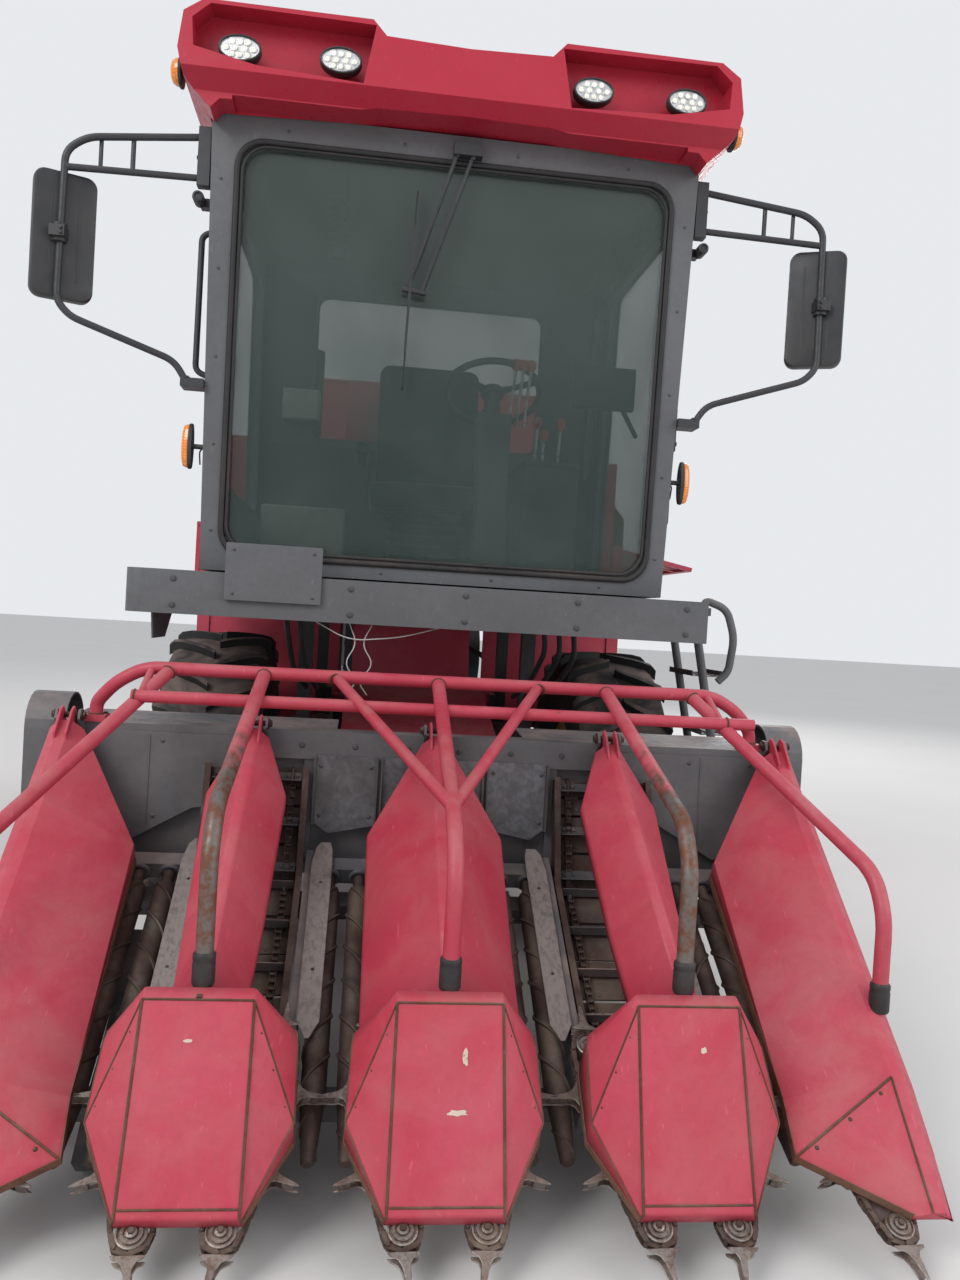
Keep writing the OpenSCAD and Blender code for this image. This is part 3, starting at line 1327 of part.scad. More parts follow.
// Ear tank: sheet tub with ribs, tipping about its lower left edge
tank_hinge_x = tank_half + 10;
tank_hinge_z = tank_floor_z - 30;
module ear_tank() {
    t = 8;
    tub = [[-tank_half, tank_floor_z + 330], [-tank_half + 300, tank_floor_z], [tank_half - 40, tank_floor_z],
        [tank_half, tank_floor_z + 60], [tank_half, tank_top_z], [-tank_half, tank_top_z]];
    inner = [[-tank_half + t, tank_floor_z + 334], [-tank_half + 304, tank_floor_z + t],
        [tank_half - 44, tank_floor_z + t], [tank_half - t, tank_floor_z + 64], [tank_half - t, tank_top_z + 10],
        [-tank_half + t, tank_top_z + 10]];
    color(paint_red) {
        difference() {
            front_profile(tank_front, tank_back, tub);
            front_profile(tank_front + t, tank_back - t, inner);
            // Mesh windows in the upper half of each wall
            for (k = [0:3]) {
                y = tank_front + 90 + k * (tank_back - tank_front - 100) / 4;
                box(-tank_half - 10, tank_half + 10, y, y + 400, tank_top_z - 560, tank_top_z - 120);
            }
        }
        // Ribs between the windows
        for (k = [0:4]) {
            y = tank_front + 20 + k * (tank_back - tank_front - 80) / 4;
            for (s = [-1, 1])
                box(s * (tank_half + 10) - 12, s * (tank_half + 10) + 12, y, y + 40, tank_floor_z + 380, tank_top_z);
        }
        for (y = [1497, 3313])
            difference() {
                union() {
                    y_cylinder(y, y + 60, tank_hinge_x, tank_hinge_z, 30);
                    front_profile(y, y + 60, [[tank_hinge_x - 20, tank_hinge_z + 18],
                        [tank_hinge_x + 20, tank_hinge_z + 20], [tank_half, tank_floor_z + 90],
                        [tank_half - 44, tank_floor_z + 2]]);
                }
                y_cylinder(y - 5, y + 65, tank_hinge_x, tank_hinge_z, 14.3);
            }
        // Lug for the tipping cylinders
        for (y = [tip_y[0] - 44.3, tip_y[1] + 24.3])
            front_profile(y, y + 20, [[-660, tank_floor_z + 2], [-460, tank_floor_z + 2], [-530, tank_floor_z - 105],
                [-590, tank_floor_z - 105]]);
    }
}

// Tipping cylinders, low on the chassis' left beam, high under the tank
tip_pin = [-560, tank_floor_z - 75];
tip_base = [180, 870];
tip_dir = tip_pin - tip_base;
tip_span = norm(tip_dir);
tip_y = [tank_front + 150, tank_back - 180];
function tip_at(y, s) = [tip_base[0] + tip_dir[0] * s / tip_span, y, tip_base[1] + tip_dir[1] * s / tip_span];
module tank_barrels() {
    color(paint_grey) for (y = tip_y) {
        difference() {
            tube(tip_at(y, 112), tip_at(y, 1000), 42);
            tube(tip_at(y, 130), tip_at(y, 1010), 27);
        }
        tube(tip_at(y, 30), tip_at(y, 116), 20);
        y_cylinder(y - 22, y + 22, tip_base[0], tip_base[1], 44);
    }
}
module tank_rods() {
    color([0.8, 0.8, 0.82]) for (y = tip_y) {
        tube(tip_at(y, 136), tip_at(y, tip_span - 20), 24);
        y_cylinder(y - 24, y + 24, tip_pin[0], tip_pin[1], 30);
    }
}

// Stalk chopper: hood over a knife rotor, on arms from the chassis
chopper_pivot_y = -420;
chopper_pivot_z = 700;
module chopper_housing() {
    hood_r = chopper_r + 35;
    color(paint_red) {
        difference() {
            side_profile(-chopper_half, chopper_half, concat(
                [[chopper_y + hood_r, 180]],
                [for (a = [0:15:180]) [chopper_y + hood_r * cos(a), chopper_z + hood_r * sin(a)]],
                [[chopper_y - hood_r, 240]]));
            side_profile(-chopper_half + 8, chopper_half - 8, concat(
                [[chopper_y + hood_r - 8, 100]],
                [for (a = [0:15:180]) [chopper_y + (hood_r - 8) * cos(a), chopper_z + (hood_r - 8) * sin(a)]],
                [[chopper_y - hood_r + 8, 100]]));
            x_cylinder(-chopper_half - 1, chopper_half + 1, chopper_y, chopper_z, 20.3);
        }
        for (s = [-1, 1]) {
            side_profile(s * 520 - 12, s * 520 + 12, [[chopper_pivot_y - 30, chopper_pivot_z + 25],
                [chopper_pivot_y - 30, chopper_pivot_z - 30], [chopper_y - hood_r + 10, chopper_z + 20],
                [chopper_y - 120, chopper_z + 206], [chopper_y - hood_r + 20, chopper_z + 120],
                [chopper_pivot_y + 30, chopper_pivot_z + 25]]);
        }
        x_cylinder(-545, 545, chopper_pivot_y, chopper_pivot_z, 24);
    }
}

module chopper_rotor() {
    color(bare_steel) {
        x_cylinder(-chopper_half + 14, chopper_half - 14, chopper_y, chopper_z, 80);
        x_cylinder(-chopper_half + 1, chopper_half - 1, chopper_y, chopper_z, 20);
        for (k = [0:13])
            translate([-chopper_half + 60 + k * (2 * chopper_half - 120) / 13, chopper_y, chopper_z])
                rotate([k * 90, 0, 0])
                    for (a = [0, 180]) rotate([a, 0, 0])
                        translate([-25, 70, -6]) cube([50, chopper_r - 70, 12]);
    }
}

chassis_frame();
front_axle();
rear_axle();
engine();
radiator();
fuel_tank();
platform();
ladder();
cab_frame();
cab_glass();
cab_roof();
cab_seat();
steering_console();
wipers();
mirrors();
lamps();
body_panels();
ear_elevator();
husker();
exhaust();
header_frame();
outer_snouts();
inner_snouts();
gathering_chains();
row_units();
roll_1();
roll_2();
roll_3();
roll_4();
roll_5();
roll_6();
roll_7();
roll_8();
ear_conveyors();
guard_rail();
feeder_house();
cross_auger();
lift_barrels();
lift_rods();
front_tyre_left();
front_rim_left();
front_tyre_right();
front_rim_right();
knuckle_left();
knuckle_right();
tie_rod();
rear_tyre_left();
rear_rim_left();
rear_tyre_right();
rear_rim_right();
door_frame();
door_glass();
cover_left();
cover_right();
ear_tank();
tank_barrels();
tank_rods();
chopper_housing();
chopper_rotor();
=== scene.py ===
"""Looks of a four-row corn combine harvester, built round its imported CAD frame."""

import random
from math import atan2, copysign, cos, pi, radians, sin, tau

import bmesh
import bpy
from bpy.props import FloatProperty, FloatVectorProperty, PointerProperty
from bpy.types import Operator, Panel, PropertyGroup
from mathutils import Matrix, Vector


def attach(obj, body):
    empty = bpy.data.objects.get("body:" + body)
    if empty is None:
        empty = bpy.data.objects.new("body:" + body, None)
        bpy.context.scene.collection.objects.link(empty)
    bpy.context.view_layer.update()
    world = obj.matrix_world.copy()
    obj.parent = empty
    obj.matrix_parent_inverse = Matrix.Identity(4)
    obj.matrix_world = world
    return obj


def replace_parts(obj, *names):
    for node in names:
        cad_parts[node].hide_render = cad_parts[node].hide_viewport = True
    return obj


bl_info = {
    "name": "Corn combine harvester",
    "version": (1, 0, 0),
    "blender": (4, 5, 0),
    "location": "View3D > Sidebar > Harvester",
    "description": "Dresses the harvester's CAD frame with its paint, glass, rubber and small parts",
    "category": "Object",
}

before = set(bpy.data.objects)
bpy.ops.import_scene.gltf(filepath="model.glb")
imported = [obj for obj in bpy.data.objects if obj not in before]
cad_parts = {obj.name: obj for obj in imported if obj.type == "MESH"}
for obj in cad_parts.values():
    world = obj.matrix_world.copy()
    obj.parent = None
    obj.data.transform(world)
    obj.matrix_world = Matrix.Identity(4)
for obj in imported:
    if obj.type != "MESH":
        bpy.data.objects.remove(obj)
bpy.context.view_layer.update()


# Shapes: points and faces gathered, then made into one mesh

def ellipse(a, b, steps=32, x=0.0, y=0.0):
    """Points round an ellipse, anticlockwise."""
    return [(x + a * cos(tau * k / steps), y + b * sin(tau * k / steps)) for k in range(steps)]


class Shape:
    """Points and faces of one piece, in metres in the frame's axes."""

    def __init__(self):
        self.points, self.faces = [], []

    def add(self, points, faces, matrix=None):
        start = len(self.points)
        for p in points:
            self.points.append(matrix @ Vector(p) if matrix else Vector(p))
        flip = matrix is not None and matrix.to_3x3().determinant() < 0
        for f in faces:
            f = [start + i for i in f]
            self.faces.append(f[::-1] if flip else f)
        return self

    def shape(self, other, matrix=None):
        return self.add(other.points, other.faces, matrix)

    def mirrored(self):
        """Adds the same again on the other side of the centre plane."""
        return self.add(list(self.points), [list(f) for f in self.faces], MIRROR)

    def box(self, x0, x1, y0, y1, z0, z1, matrix=None):
        pts = [(x, y, z) for z in (z0, z1) for y in (y0, y1) for x in (x0, x1)]
        return self.add(pts, [(0, 2, 3, 1), (4, 5, 7, 6), (0, 1, 5, 4), (2, 6, 7, 3), (0, 4, 6, 2),
                              (1, 3, 7, 5)], matrix)

    def skin(self, rings, closed=False, caps=True, matrix=None):
        """Skin over rings of equal point counts; closed joins the last to the first."""
        n, m = len(rings[0]), len(rings)
        faces = []
        for i in range(m if closed else m - 1):
            a, b = i * n, (i + 1) % m * n
            faces += [(a + k, a + (k + 1) % n, b + (k + 1) % n, b + k) for k in range(n)]
        if caps and not closed:
            faces += [tuple(range(n))[::-1], tuple((m - 1) * n + k for k in range(n))]
        return self.add([p for r in rings for p in r], faces, matrix)

    def tube(self, path, r, sides=14, closed=False, matrix=None):
        """Round bar along points; r is one radius or one for each point."""
        path = [Vector(p) for p in path]
        n = len(path)
        radii = r if isinstance(r, (list, tuple)) else [r] * n
        ways = []
        for i in range(n):
            before = path[i] - path[i - 1] if i or closed else path[1] - path[0]
            after = path[(i + 1) % n] - path[i] if i < n - 1 or closed else before
            ways.append((before.normalized() + after.normalized()).normalized())
        side = ways[0].orthogonal().normalized()
        rings = []
        for i in range(n):
            side = (side - ways[i] * side.dot(ways[i])).normalized()
            up = ways[i].cross(side)
            turn = [tau * k / sides for k in range(sides)]
            rings.append([path[i] + (side * cos(a) + up * sin(a)) * radii[i] for a in turn])
        return self.skin(rings, closed, True, matrix)

    def lathe(self, profile, steps=32, matrix=None):
        """Turns (radius, height) points round the local z axis."""
        return self.skin([[(x, y, h) for x, y in ellipse(r, r, steps)] for r, h in profile], matrix=matrix)

    def torus(self, r, bead, steps, sides, matrix):
        """A round bar bent to a ring about the local z axis."""
        return self.tube([(x, y, 0) for x, y in ellipse(r, r, steps)], bead, sides, True, matrix)

    def prism(self, outline, low, high, matrix=None):
        """Extrudes an anticlockwise x, y outline from z = low to z = high."""
        return self.skin([[(x, y, z) for x, y in outline] for z in (low, high)], matrix=matrix)


def piece(name, shape, finish, body, smooth=35, bevel=0.0):
    """Makes the gathered shape into an object that rides on a body."""
    mesh = bpy.data.meshes.new(name)
    mesh.from_pydata([tuple(p) for p in shape.points], [], shape.faces)
    work = bmesh.new()
    work.from_mesh(mesh)
    bmesh.ops.remove_doubles(work, verts=work.verts, dist=1e-5)
    bmesh.ops.recalc_face_normals(work, faces=work.faces)
    work.to_mesh(mesh)
    work.free()
    obj = bpy.data.objects.new(name, mesh)
    bpy.context.scene.collection.objects.link(obj)
    mesh.materials.append(material(finish))
    if bevel:
        add_bevel(obj, bevel)
    if smooth:
        mesh.shade_smooth()
        mesh.set_sharp_from_angle(angle=radians(smooth))
    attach(obj, body)
    return obj


def add_bevel(obj, width, segments=2, angle=30):
    """Rounds an object's hard edges."""
    mod = obj.modifiers.new("Rounded edges", "BEVEL")
    mod.width, mod.segments = width, segments
    mod.limit_method, mod.angle_limit = "ANGLE", radians(angle)
    return mod


def rounded(points, radius, steps=5):
    """A path whose corners are arcs of about the given radius."""
    points = [Vector(p) for p in points]
    made = [points[0]]
    for a, b, c in zip(points, points[1:], points[2:]):
        back, on = (a - b), (c - b)
        cut = min(radius, back.length * 0.45, on.length * 0.45)
        p, q = b + back.normalized() * cut, b + on.normalized() * cut
        for k in range(steps + 1):
            t = k / steps
            made.append(p * (1 - t) ** 2 + b * 2 * t * (1 - t) + q * t ** 2)
    return made + [points[-1]]


def round_rect(x0, x1, y0, y1, r, steps=5):
    """Rectangle with round corners, anticlockwise."""
    corners = ((x1 - r, y1 - r, 0), (x0 + r, y1 - r, 90), (x0 + r, y0 + r, 180), (x1 - r, y0 + r, 270))
    return [(cx + r * cos(radians(a + 90 * k / steps)), cy + r * sin(radians(a + 90 * k / steps)))
            for cx, cy, a in corners for k in range(steps + 1)]


MIRROR = Matrix.Scale(-1, 4, (1, 0, 0))


def shift(x, y, z):
    """Matrix that moves by x, y, z."""
    return Matrix.Translation((x, y, z))


def turned(angle, axis):
    """Matrix that turns about an axis through the origin."""
    return Matrix.Rotation(angle, 4, axis)


def mirror_all(*shapes):
    """Adds to each shape the same again on the other side of the centre plane."""
    for shape in shapes:
        shape.mirrored()


def place(origin, x_axis, z_axis):
    """Matrix whose local z points along z_axis and x as near x_axis as it can."""
    z = Vector(z_axis).normalized()
    x = Vector(x_axis)
    x = (x - z * x.dot(z)).normalized()
    y = z.cross(x)
    m = Matrix((x, y, z)).transposed().to_4x4()
    m.translation = Vector(origin)
    return m


# Materials: noise, ramps and mixes on the frame's own coordinates

class Finish:
    """One material and short ways to add its nodes."""

    def __init__(self, name):
        self.material = bpy.data.materials.new(name)
        self.material.use_nodes = True
        self.tree = self.material.node_tree
        self.shader = self.tree.nodes["Principled BSDF"]
        self.coordinates = self.node("ShaderNodeTexCoord")
        self.where = self.coordinates.outputs["Object"]

    def node(self, kind, inputs=None, **settings):
        made = self.tree.nodes.new(kind)
        for key, value in settings.items():
            setattr(made, key, value)
        for key, value in (inputs or {}).items():
            self.join(value, made.inputs[key])
        return made

    def join(self, value, socket):
        if isinstance(value, bpy.types.NodeSocket):
            self.tree.links.new(value, socket)
        elif value is not None:
            socket.default_value = value

    def set(self, **values):
        for key, value in values.items():
            self.join(value, self.shader.inputs[key.replace("_", " ")])
        return self

    def stretched(self, scale, turn=(0, 0, 0)):
        return self.node("ShaderNodeMapping", {"Vector": self.where, "Scale": scale,
                                               "Rotation": turn}).outputs[0]

    def noise(self, scale, detail=3.0, rough=0.55, warp=0.0, where=None):
        return self.node("ShaderNodeTexNoise", {
            "Vector": where or self.where, "Scale": scale, "Detail": detail, "Roughness": rough,
            "Distortion": warp}).outputs["Fac"]

    def cells(self, scale, randomness=1.0):
        return self.node("ShaderNodeTexVoronoi", {
            "Vector": self.where, "Scale": scale, "Randomness": randomness}).outputs["Distance"]

    def step(self, value, low, high, to_low=0.0, to_high=1.0):
        """Maps low..high to to_low..to_high, clamped and smooth."""
        return self.node("ShaderNodeMapRange", {
            "Value": value, "From Min": low, "From Max": high, "To Min": to_low, "To Max": to_high},
            interpolation_type="SMOOTHSTEP").outputs[0]

    def math(self, how, a, b=None):
        made = self.node("ShaderNodeMath", operation=how)
        self.join(a, made.inputs[0])
        self.join(b, made.inputs[1])
        return made.outputs[0]

    def axis(self, name, source="Object"):
        """One component of the place, or of the surface's own normal."""
        return self.node("ShaderNodeSeparateXYZ", {"Vector": self.coordinates.outputs[source]}).outputs[name]

    def mix(self, share, a, b):
        made = self.node("ShaderNodeMix", data_type="RGBA", blend_type="MIX")
        self.join(share, made.inputs[0])
        self.join(tint(a), made.inputs[6])
        self.join(tint(b), made.inputs[7])
        return made.outputs[2]

    def bump(self, height, distance, strength=1.0, before=None):
        inputs = {"Height": height, "Distance": distance, "Strength": strength}
        if before:
            inputs["Normal"] = before
        return self.node("ShaderNodeBump", inputs).outputs[0]


def tint(colour):
    """Colour sockets pass; tuples get an alpha."""
    if isinstance(colour, bpy.types.NodeSocket) or len(colour) == 4:
        return colour
    return (*colour, 1.0)


def shade(colour, by):
    """The colour, lighter or darker by a factor."""
    return tuple(min(1.0, c * by) for c in list(colour)[:3])


def dusted(f, colour, dust, amount, height=1.6):
    """Dust that lies on what faces up and thickens towards the ground."""
    up = f.step(f.axis("Z", "Normal"), 0.1, 1.0, 0.0, 0.75)
    low = f.step(f.axis("Z"), 0.0, height, 0.55, 0.0)
    patch = f.step(f.noise(5.0, 6.0, 0.62, 0.6), 0.32, 0.72)
    share = f.math("MULTIPLY", f.math("ADD", up, low), patch)
    return f.mix(f.math("MULTIPLY", share, amount), colour, dust)


def painted_sheet(name, colour, faded, dust, rust, chips=0.68, fade=0.5, gloss=0.42, dust_amount=0.5,
                  wave=0.004, edge_scale=16.0):
    """Old paint on sheet steel: sun-faded patches, fine scratches, chips and dust."""
    f = Finish(name)
    patches = f.step(f.noise(1.7, 5.0, 0.6, 0.8), 0.3, 0.72, 0.0, fade)
    base = f.mix(patches, colour, faded)
    mottle = f.noise(38.0, 6.0, 0.7)
    base = f.mix(f.step(mottle, 0.35, 0.75, 0.0, 0.22), base, shade(colour, 0.62))
    fine = f.noise(90.0, 3.0, 0.5, where=f.stretched((1.0, 0.06, 0.35), (0.4, 0.2, 0.5)))
    base = f.mix(f.step(fine, 0.66, 0.74, 0.0, 0.35), base, shade(faded, 1.25))
    base = dusted(f, base, dust, dust_amount)
    spots = f.noise(edge_scale, 9.0, 0.72, 0.4)
    chip = f.step(spots, chips, chips + 0.035)
    base = f.mix(chip, base, rust)
    rough = f.step(mottle, 0.3, 0.8, gloss, gloss + 0.25)
    rough = f.math("MAXIMUM", rough, f.math("MULTIPLY", chip, 0.85))
    dents = f.bump(f.noise(3.2, 2.0, 0.4), wave, 0.55)
    peel = f.bump(f.math("SUBTRACT", f.noise(240.0, 2.0), f.math("MULTIPLY", chip, 0.8)), 0.0006, 0.6, dents)
    f.set(Base_Color=base, Roughness=rough, Normal=peel, Metallic=0.0)
    f.set(Specular_IOR_Level=0.45)
    return f.material


def worn_steel(name, colour, rust, bright, rust_share=0.5, scale=14.0, metal=0.75, rough=0.45, grit=0.0012):
    """Bare steel gone brown, rubbed bright where the crop runs over it."""
    f = Finish(name)
    patches = f.noise(scale, 8.0, 0.68, 0.5)
    rusty = f.step(patches, rust_share - 0.14, rust_share + 0.12)
    base = f.mix(rusty, bright, colour)
    base = f.mix(f.step(f.noise(scale * 4.5, 6.0, 0.7), 0.45, 0.7, 0.0, 0.75), base, rust)
    base = dusted(f, base, (0.34, 0.26, 0.2), 0.45, 1.0)
    f.set(Base_Color=base, Roughness=f.step(patches, 0.3, 0.7, rough, rough + 0.35))
    f.set(Metallic=metal, Normal=f.bump(f.noise(scale * 9.0, 5.0, 0.65), grit, 0.8))
    return f.material


def worn_leg(name, colour, faded, dust, rust, bright):
    """Painted tube whose lower part the crop has rubbed to brown steel."""
    f = Finish(name)
    patches = f.noise(9.0, 6.0, 0.65, 0.5)
    paint = f.mix(f.step(patches, 0.35, 0.7, 0.0, 0.6), colour, faded)
    paint = dusted(f, paint, dust, 0.35)
    steel = f.mix(f.step(f.noise(24.0, 7.0, 0.7), 0.4, 0.62), shade(rust, 1.4), shade(bright, 0.55))
    edge = f.math("ADD", f.axis("Z"), f.math("MULTIPLY", patches, 0.3))
    worn = f.step(edge, 1.16, 1.24, 1.0, 0.0)
    chip = f.step(f.noise(30.0, 8.0, 0.7), 0.62, 0.66)
    share = f.math("MAXIMUM", worn, chip)
    f.set(Base_Color=f.mix(share, paint, steel), Metallic=f.math("MULTIPLY", share, 0.45))
    f.set(Roughness=f.step(patches, 0.3, 0.7, 0.4, 0.6), Normal=f.bump(f.noise(90.0, 4.0), 0.0005, 0.6))
    return f.material


def rubber(name, colour, dust, amount, rough=0.78, height=1.3):
    """Black rubber with dust worked into it."""
    f = Finish(name)
    grain = f.noise(60.0, 6.0, 0.7)
    base = f.mix(f.step(grain, 0.35, 0.7, 0.0, 0.6), colour, shade(colour, 2.1))
    base = dusted(f, base, dust, amount, height)
    f.set(Base_Color=base, Roughness=f.step(grain, 0.3, 0.75, rough - 0.14, rough + 0.1))
    f.set(Normal=f.bump(f.noise(170.0, 4.0, 0.6), 0.0006, 0.7), Specular_IOR_Level=0.35)
    return f.material


def moulded(name, colour, rough=0.45, grain=420.0, depth=0.0003, variation=0.12):
    """Moulded plastic with a fine leather grain."""
    f = Finish(name)
    soft = f.noise(7.0, 4.0, 0.6)
    base = f.mix(f.step(soft, 0.35, 0.7, 0.0, 1.0), shade(colour, 1 - variation),
                 shade(colour, 1 + variation))
    base = dusted(f, base, (0.45, 0.4, 0.36), 0.22, 4.0)
    f.set(Base_Color=base, Roughness=f.step(soft, 0.3, 0.75, rough - 0.06, rough + 0.12))
    f.set(Normal=f.bump(f.cells(grain), depth, 0.5))
    return f.material


def glass(name, colour, alpha, rough=0.03):
    """Tinted pane: dusty film over a clear tint, with a painted reflection that pales it towards the top."""
    f = Finish(name)
    film = f.step(f.noise(2.2, 5.0, 0.6, 0.4), 0.35, 0.75)
    smear = f.noise(14.0, 5.0, 0.65, where=f.stretched((1.0, 1.0, 0.25)))
    # Painted reflection: the higher the pane stands, the more it is mixed towards pale grey-green, in place of
    # the light it reflects.
    painted_reflection = f.step(f.axis("Z"), 1.9, 2.8, 0.0, 0.75)
    base = f.mix(f.math("MAXIMUM", f.math("MULTIPLY", film, 0.35), painted_reflection), colour, (0.085, 0.112, 0.1))
    f.set(Base_Color=base, Roughness=f.step(smear, 0.45, 0.75, rough, rough + 0.07))
    f.set(Alpha=f.step(film, 0.0, 1.0, alpha, min(1.0, alpha + 0.08)), Specular_IOR_Level=0.75, IOR=1.5)
    f.material.surface_render_method = "BLENDED"
    return f.material


def lens(name, colour, glow=0.0, rough=0.12):
    """Ribbed lamp lens."""
    f = Finish(name)
    ribs = f.cells(95.0, randomness=0.15)
    base = f.mix(f.step(ribs, 0.2, 0.7), shade(colour, 1.15), shade(colour, 0.72))
    f.set(Base_Color=base, Roughness=f.step(ribs, 0.1, 0.8, rough, rough + 0.15))
    f.set(Normal=f.bump(ribs, 0.0016, 0.6), Coat_Weight=0.7, Coat_Roughness=0.06)
    if glow:
        f.set(Emission_Color=(*colour[:3], 1.0), Emission_Strength=glow)
    return f.material


def weathered_wood(name, pale, dark):
    """Pale, scuffed boards with long scratches along the row's slope."""
    f = Finish(name)
    along = f.stretched((30.0, 1.2, 30.0), (radians(-30), 0, 0))
    grain = f.noise(3.0, 5.0, 0.6, 0.3, along)
    base = f.mix(f.step(grain, 0.42, 0.7, 0.0, 0.55), pale, dark)
    base = f.mix(f.step(f.noise(7.0, 6.0, 0.65), 0.52, 0.7, 0.0, 0.6), base, shade(dark, 0.7))
    f.set(Base_Color=base, Roughness=0.7, Normal=f.bump(grain, 0.0008, 0.6))
    return f.material


def galvanised(name, colour):
    """Zinc-coated sheet with a crystal pattern and grey streaks."""
    f = Finish(name)
    flake = f.noise(22.0, 7.0, 0.7, 0.8)
    cloud = f.noise(4.0, 5.0, 0.6, 0.5)
    base = f.mix(f.step(flake, 0.35, 0.65), shade(colour, 0.8), shade(colour, 0.5))
    base = f.mix(f.step(cloud, 0.4, 0.7, 0.0, 0.6), base, (0.09, 0.085, 0.085))
    base = dusted(f, base, (0.4, 0.33, 0.28), 0.5, 2.0)
    f.set(Base_Color=base, Roughness=f.step(flake, 0.0, 0.7, 0.34, 0.6), Metallic=0.7)
    f.set(Normal=f.bump(cloud, 0.001, 0.4))
    return f.material


def woven(name, colour, thread=900.0):
    """Seat cloth: a fine weave with soft wear."""
    f = Finish(name)
    across = f.node("ShaderNodeTexWave", {"Vector": f.where, "Scale": thread / 20, "Distortion": 0.4},
                    bands_direction="X").outputs["Fac"]
    down = f.node("ShaderNodeTexWave", {"Vector": f.where, "Scale": thread / 20, "Distortion": 0.4},
                  bands_direction="Z").outputs["Fac"]
    weave = f.math("MULTIPLY", across, down)
    base = f.mix(f.step(f.noise(9.0, 4.0), 0.35, 0.7, 0.0, 0.6), colour, shade(colour, 1.7))
    base = f.mix(f.step(weave, 0.2, 0.8, 0.0, 0.3), base, shade(colour, 0.5))
    f.set(Base_Color=base, Roughness=0.9, Normal=f.bump(weave, 0.0008, 0.6))
    f.set(Sheen_Weight=0.35, Sheen_Roughness=0.4)
    return f.material


# Sizes and colours that a user would change

def colour_prop(name, description, default):
    return FloatVectorProperty(name=name, description=description, default=default, subtype="COLOR", size=3,
                               min=0.0, max=1.0)


def length_prop(name, description, default):
    return FloatProperty(name=name, description=description, default=default, unit="LENGTH", min=0.0)


class HARVESTER_PG_colours(PropertyGroup):
    """Colours of paint, steel, glass and lamps."""

    red: colour_prop("Red paint", "Sheet metal of header and body", (0.47, 0.033, 0.062))
    faded: colour_prop("Faded red", "Where the sun has bleached the red", (0.6, 0.1, 0.15))
    roof: colour_prop("Roof red", "Moulded cab roof", (0.4, 0.014, 0.035))
    grey: colour_prop("Charcoal paint", "Header beam, cab frame and platform", (0.094, 0.096, 0.101))
    dust: colour_prop("Dust", "Pale field dust", (0.42, 0.3, 0.25))
    rust: colour_prop("Rust", "Chips and seams", (0.115, 0.047, 0.026))
    brown: colour_prop("Brown steel", "Rolls, conveyors and chains", (0.07, 0.043, 0.036))
    bright: colour_prop("Rubbed steel", "Steel polished by the crop", (0.3, 0.27, 0.25))
    rubber: colour_prop("Rubber", "Tyres, seals and boots", (0.016, 0.016, 0.017))
    zinc: colour_prop("Zinc", "Galvanised plates", (0.25, 0.26, 0.28))
    plank: colour_prop("Plank", "Weathered boards", (0.29, 0.25, 0.23))
    tint: colour_prop("Glass tint", "Green of the panes", (0.028, 0.055, 0.046))
    amber: colour_prop("Amber", "Turn and marker lamps", (0.9, 0.26, 0.02))
    rim: colour_prop("Wheel yellow", "Wheel rims", (0.62, 0.4, 0.05))
    engine: colour_prop("Engine paint", "Engine block", (0.045, 0.1, 0.12))
    plastic: colour_prop("Black plastic", "Mirrors, console and trim", (0.022, 0.023, 0.025))


class HARVESTER_PG_sizes(PropertyGroup):
    """A size of the scene's own pieces."""

    rail: length_prop("Guard rail tube", "Diameter of the guard rail's tube", 0.042)


MATERIALS = {}


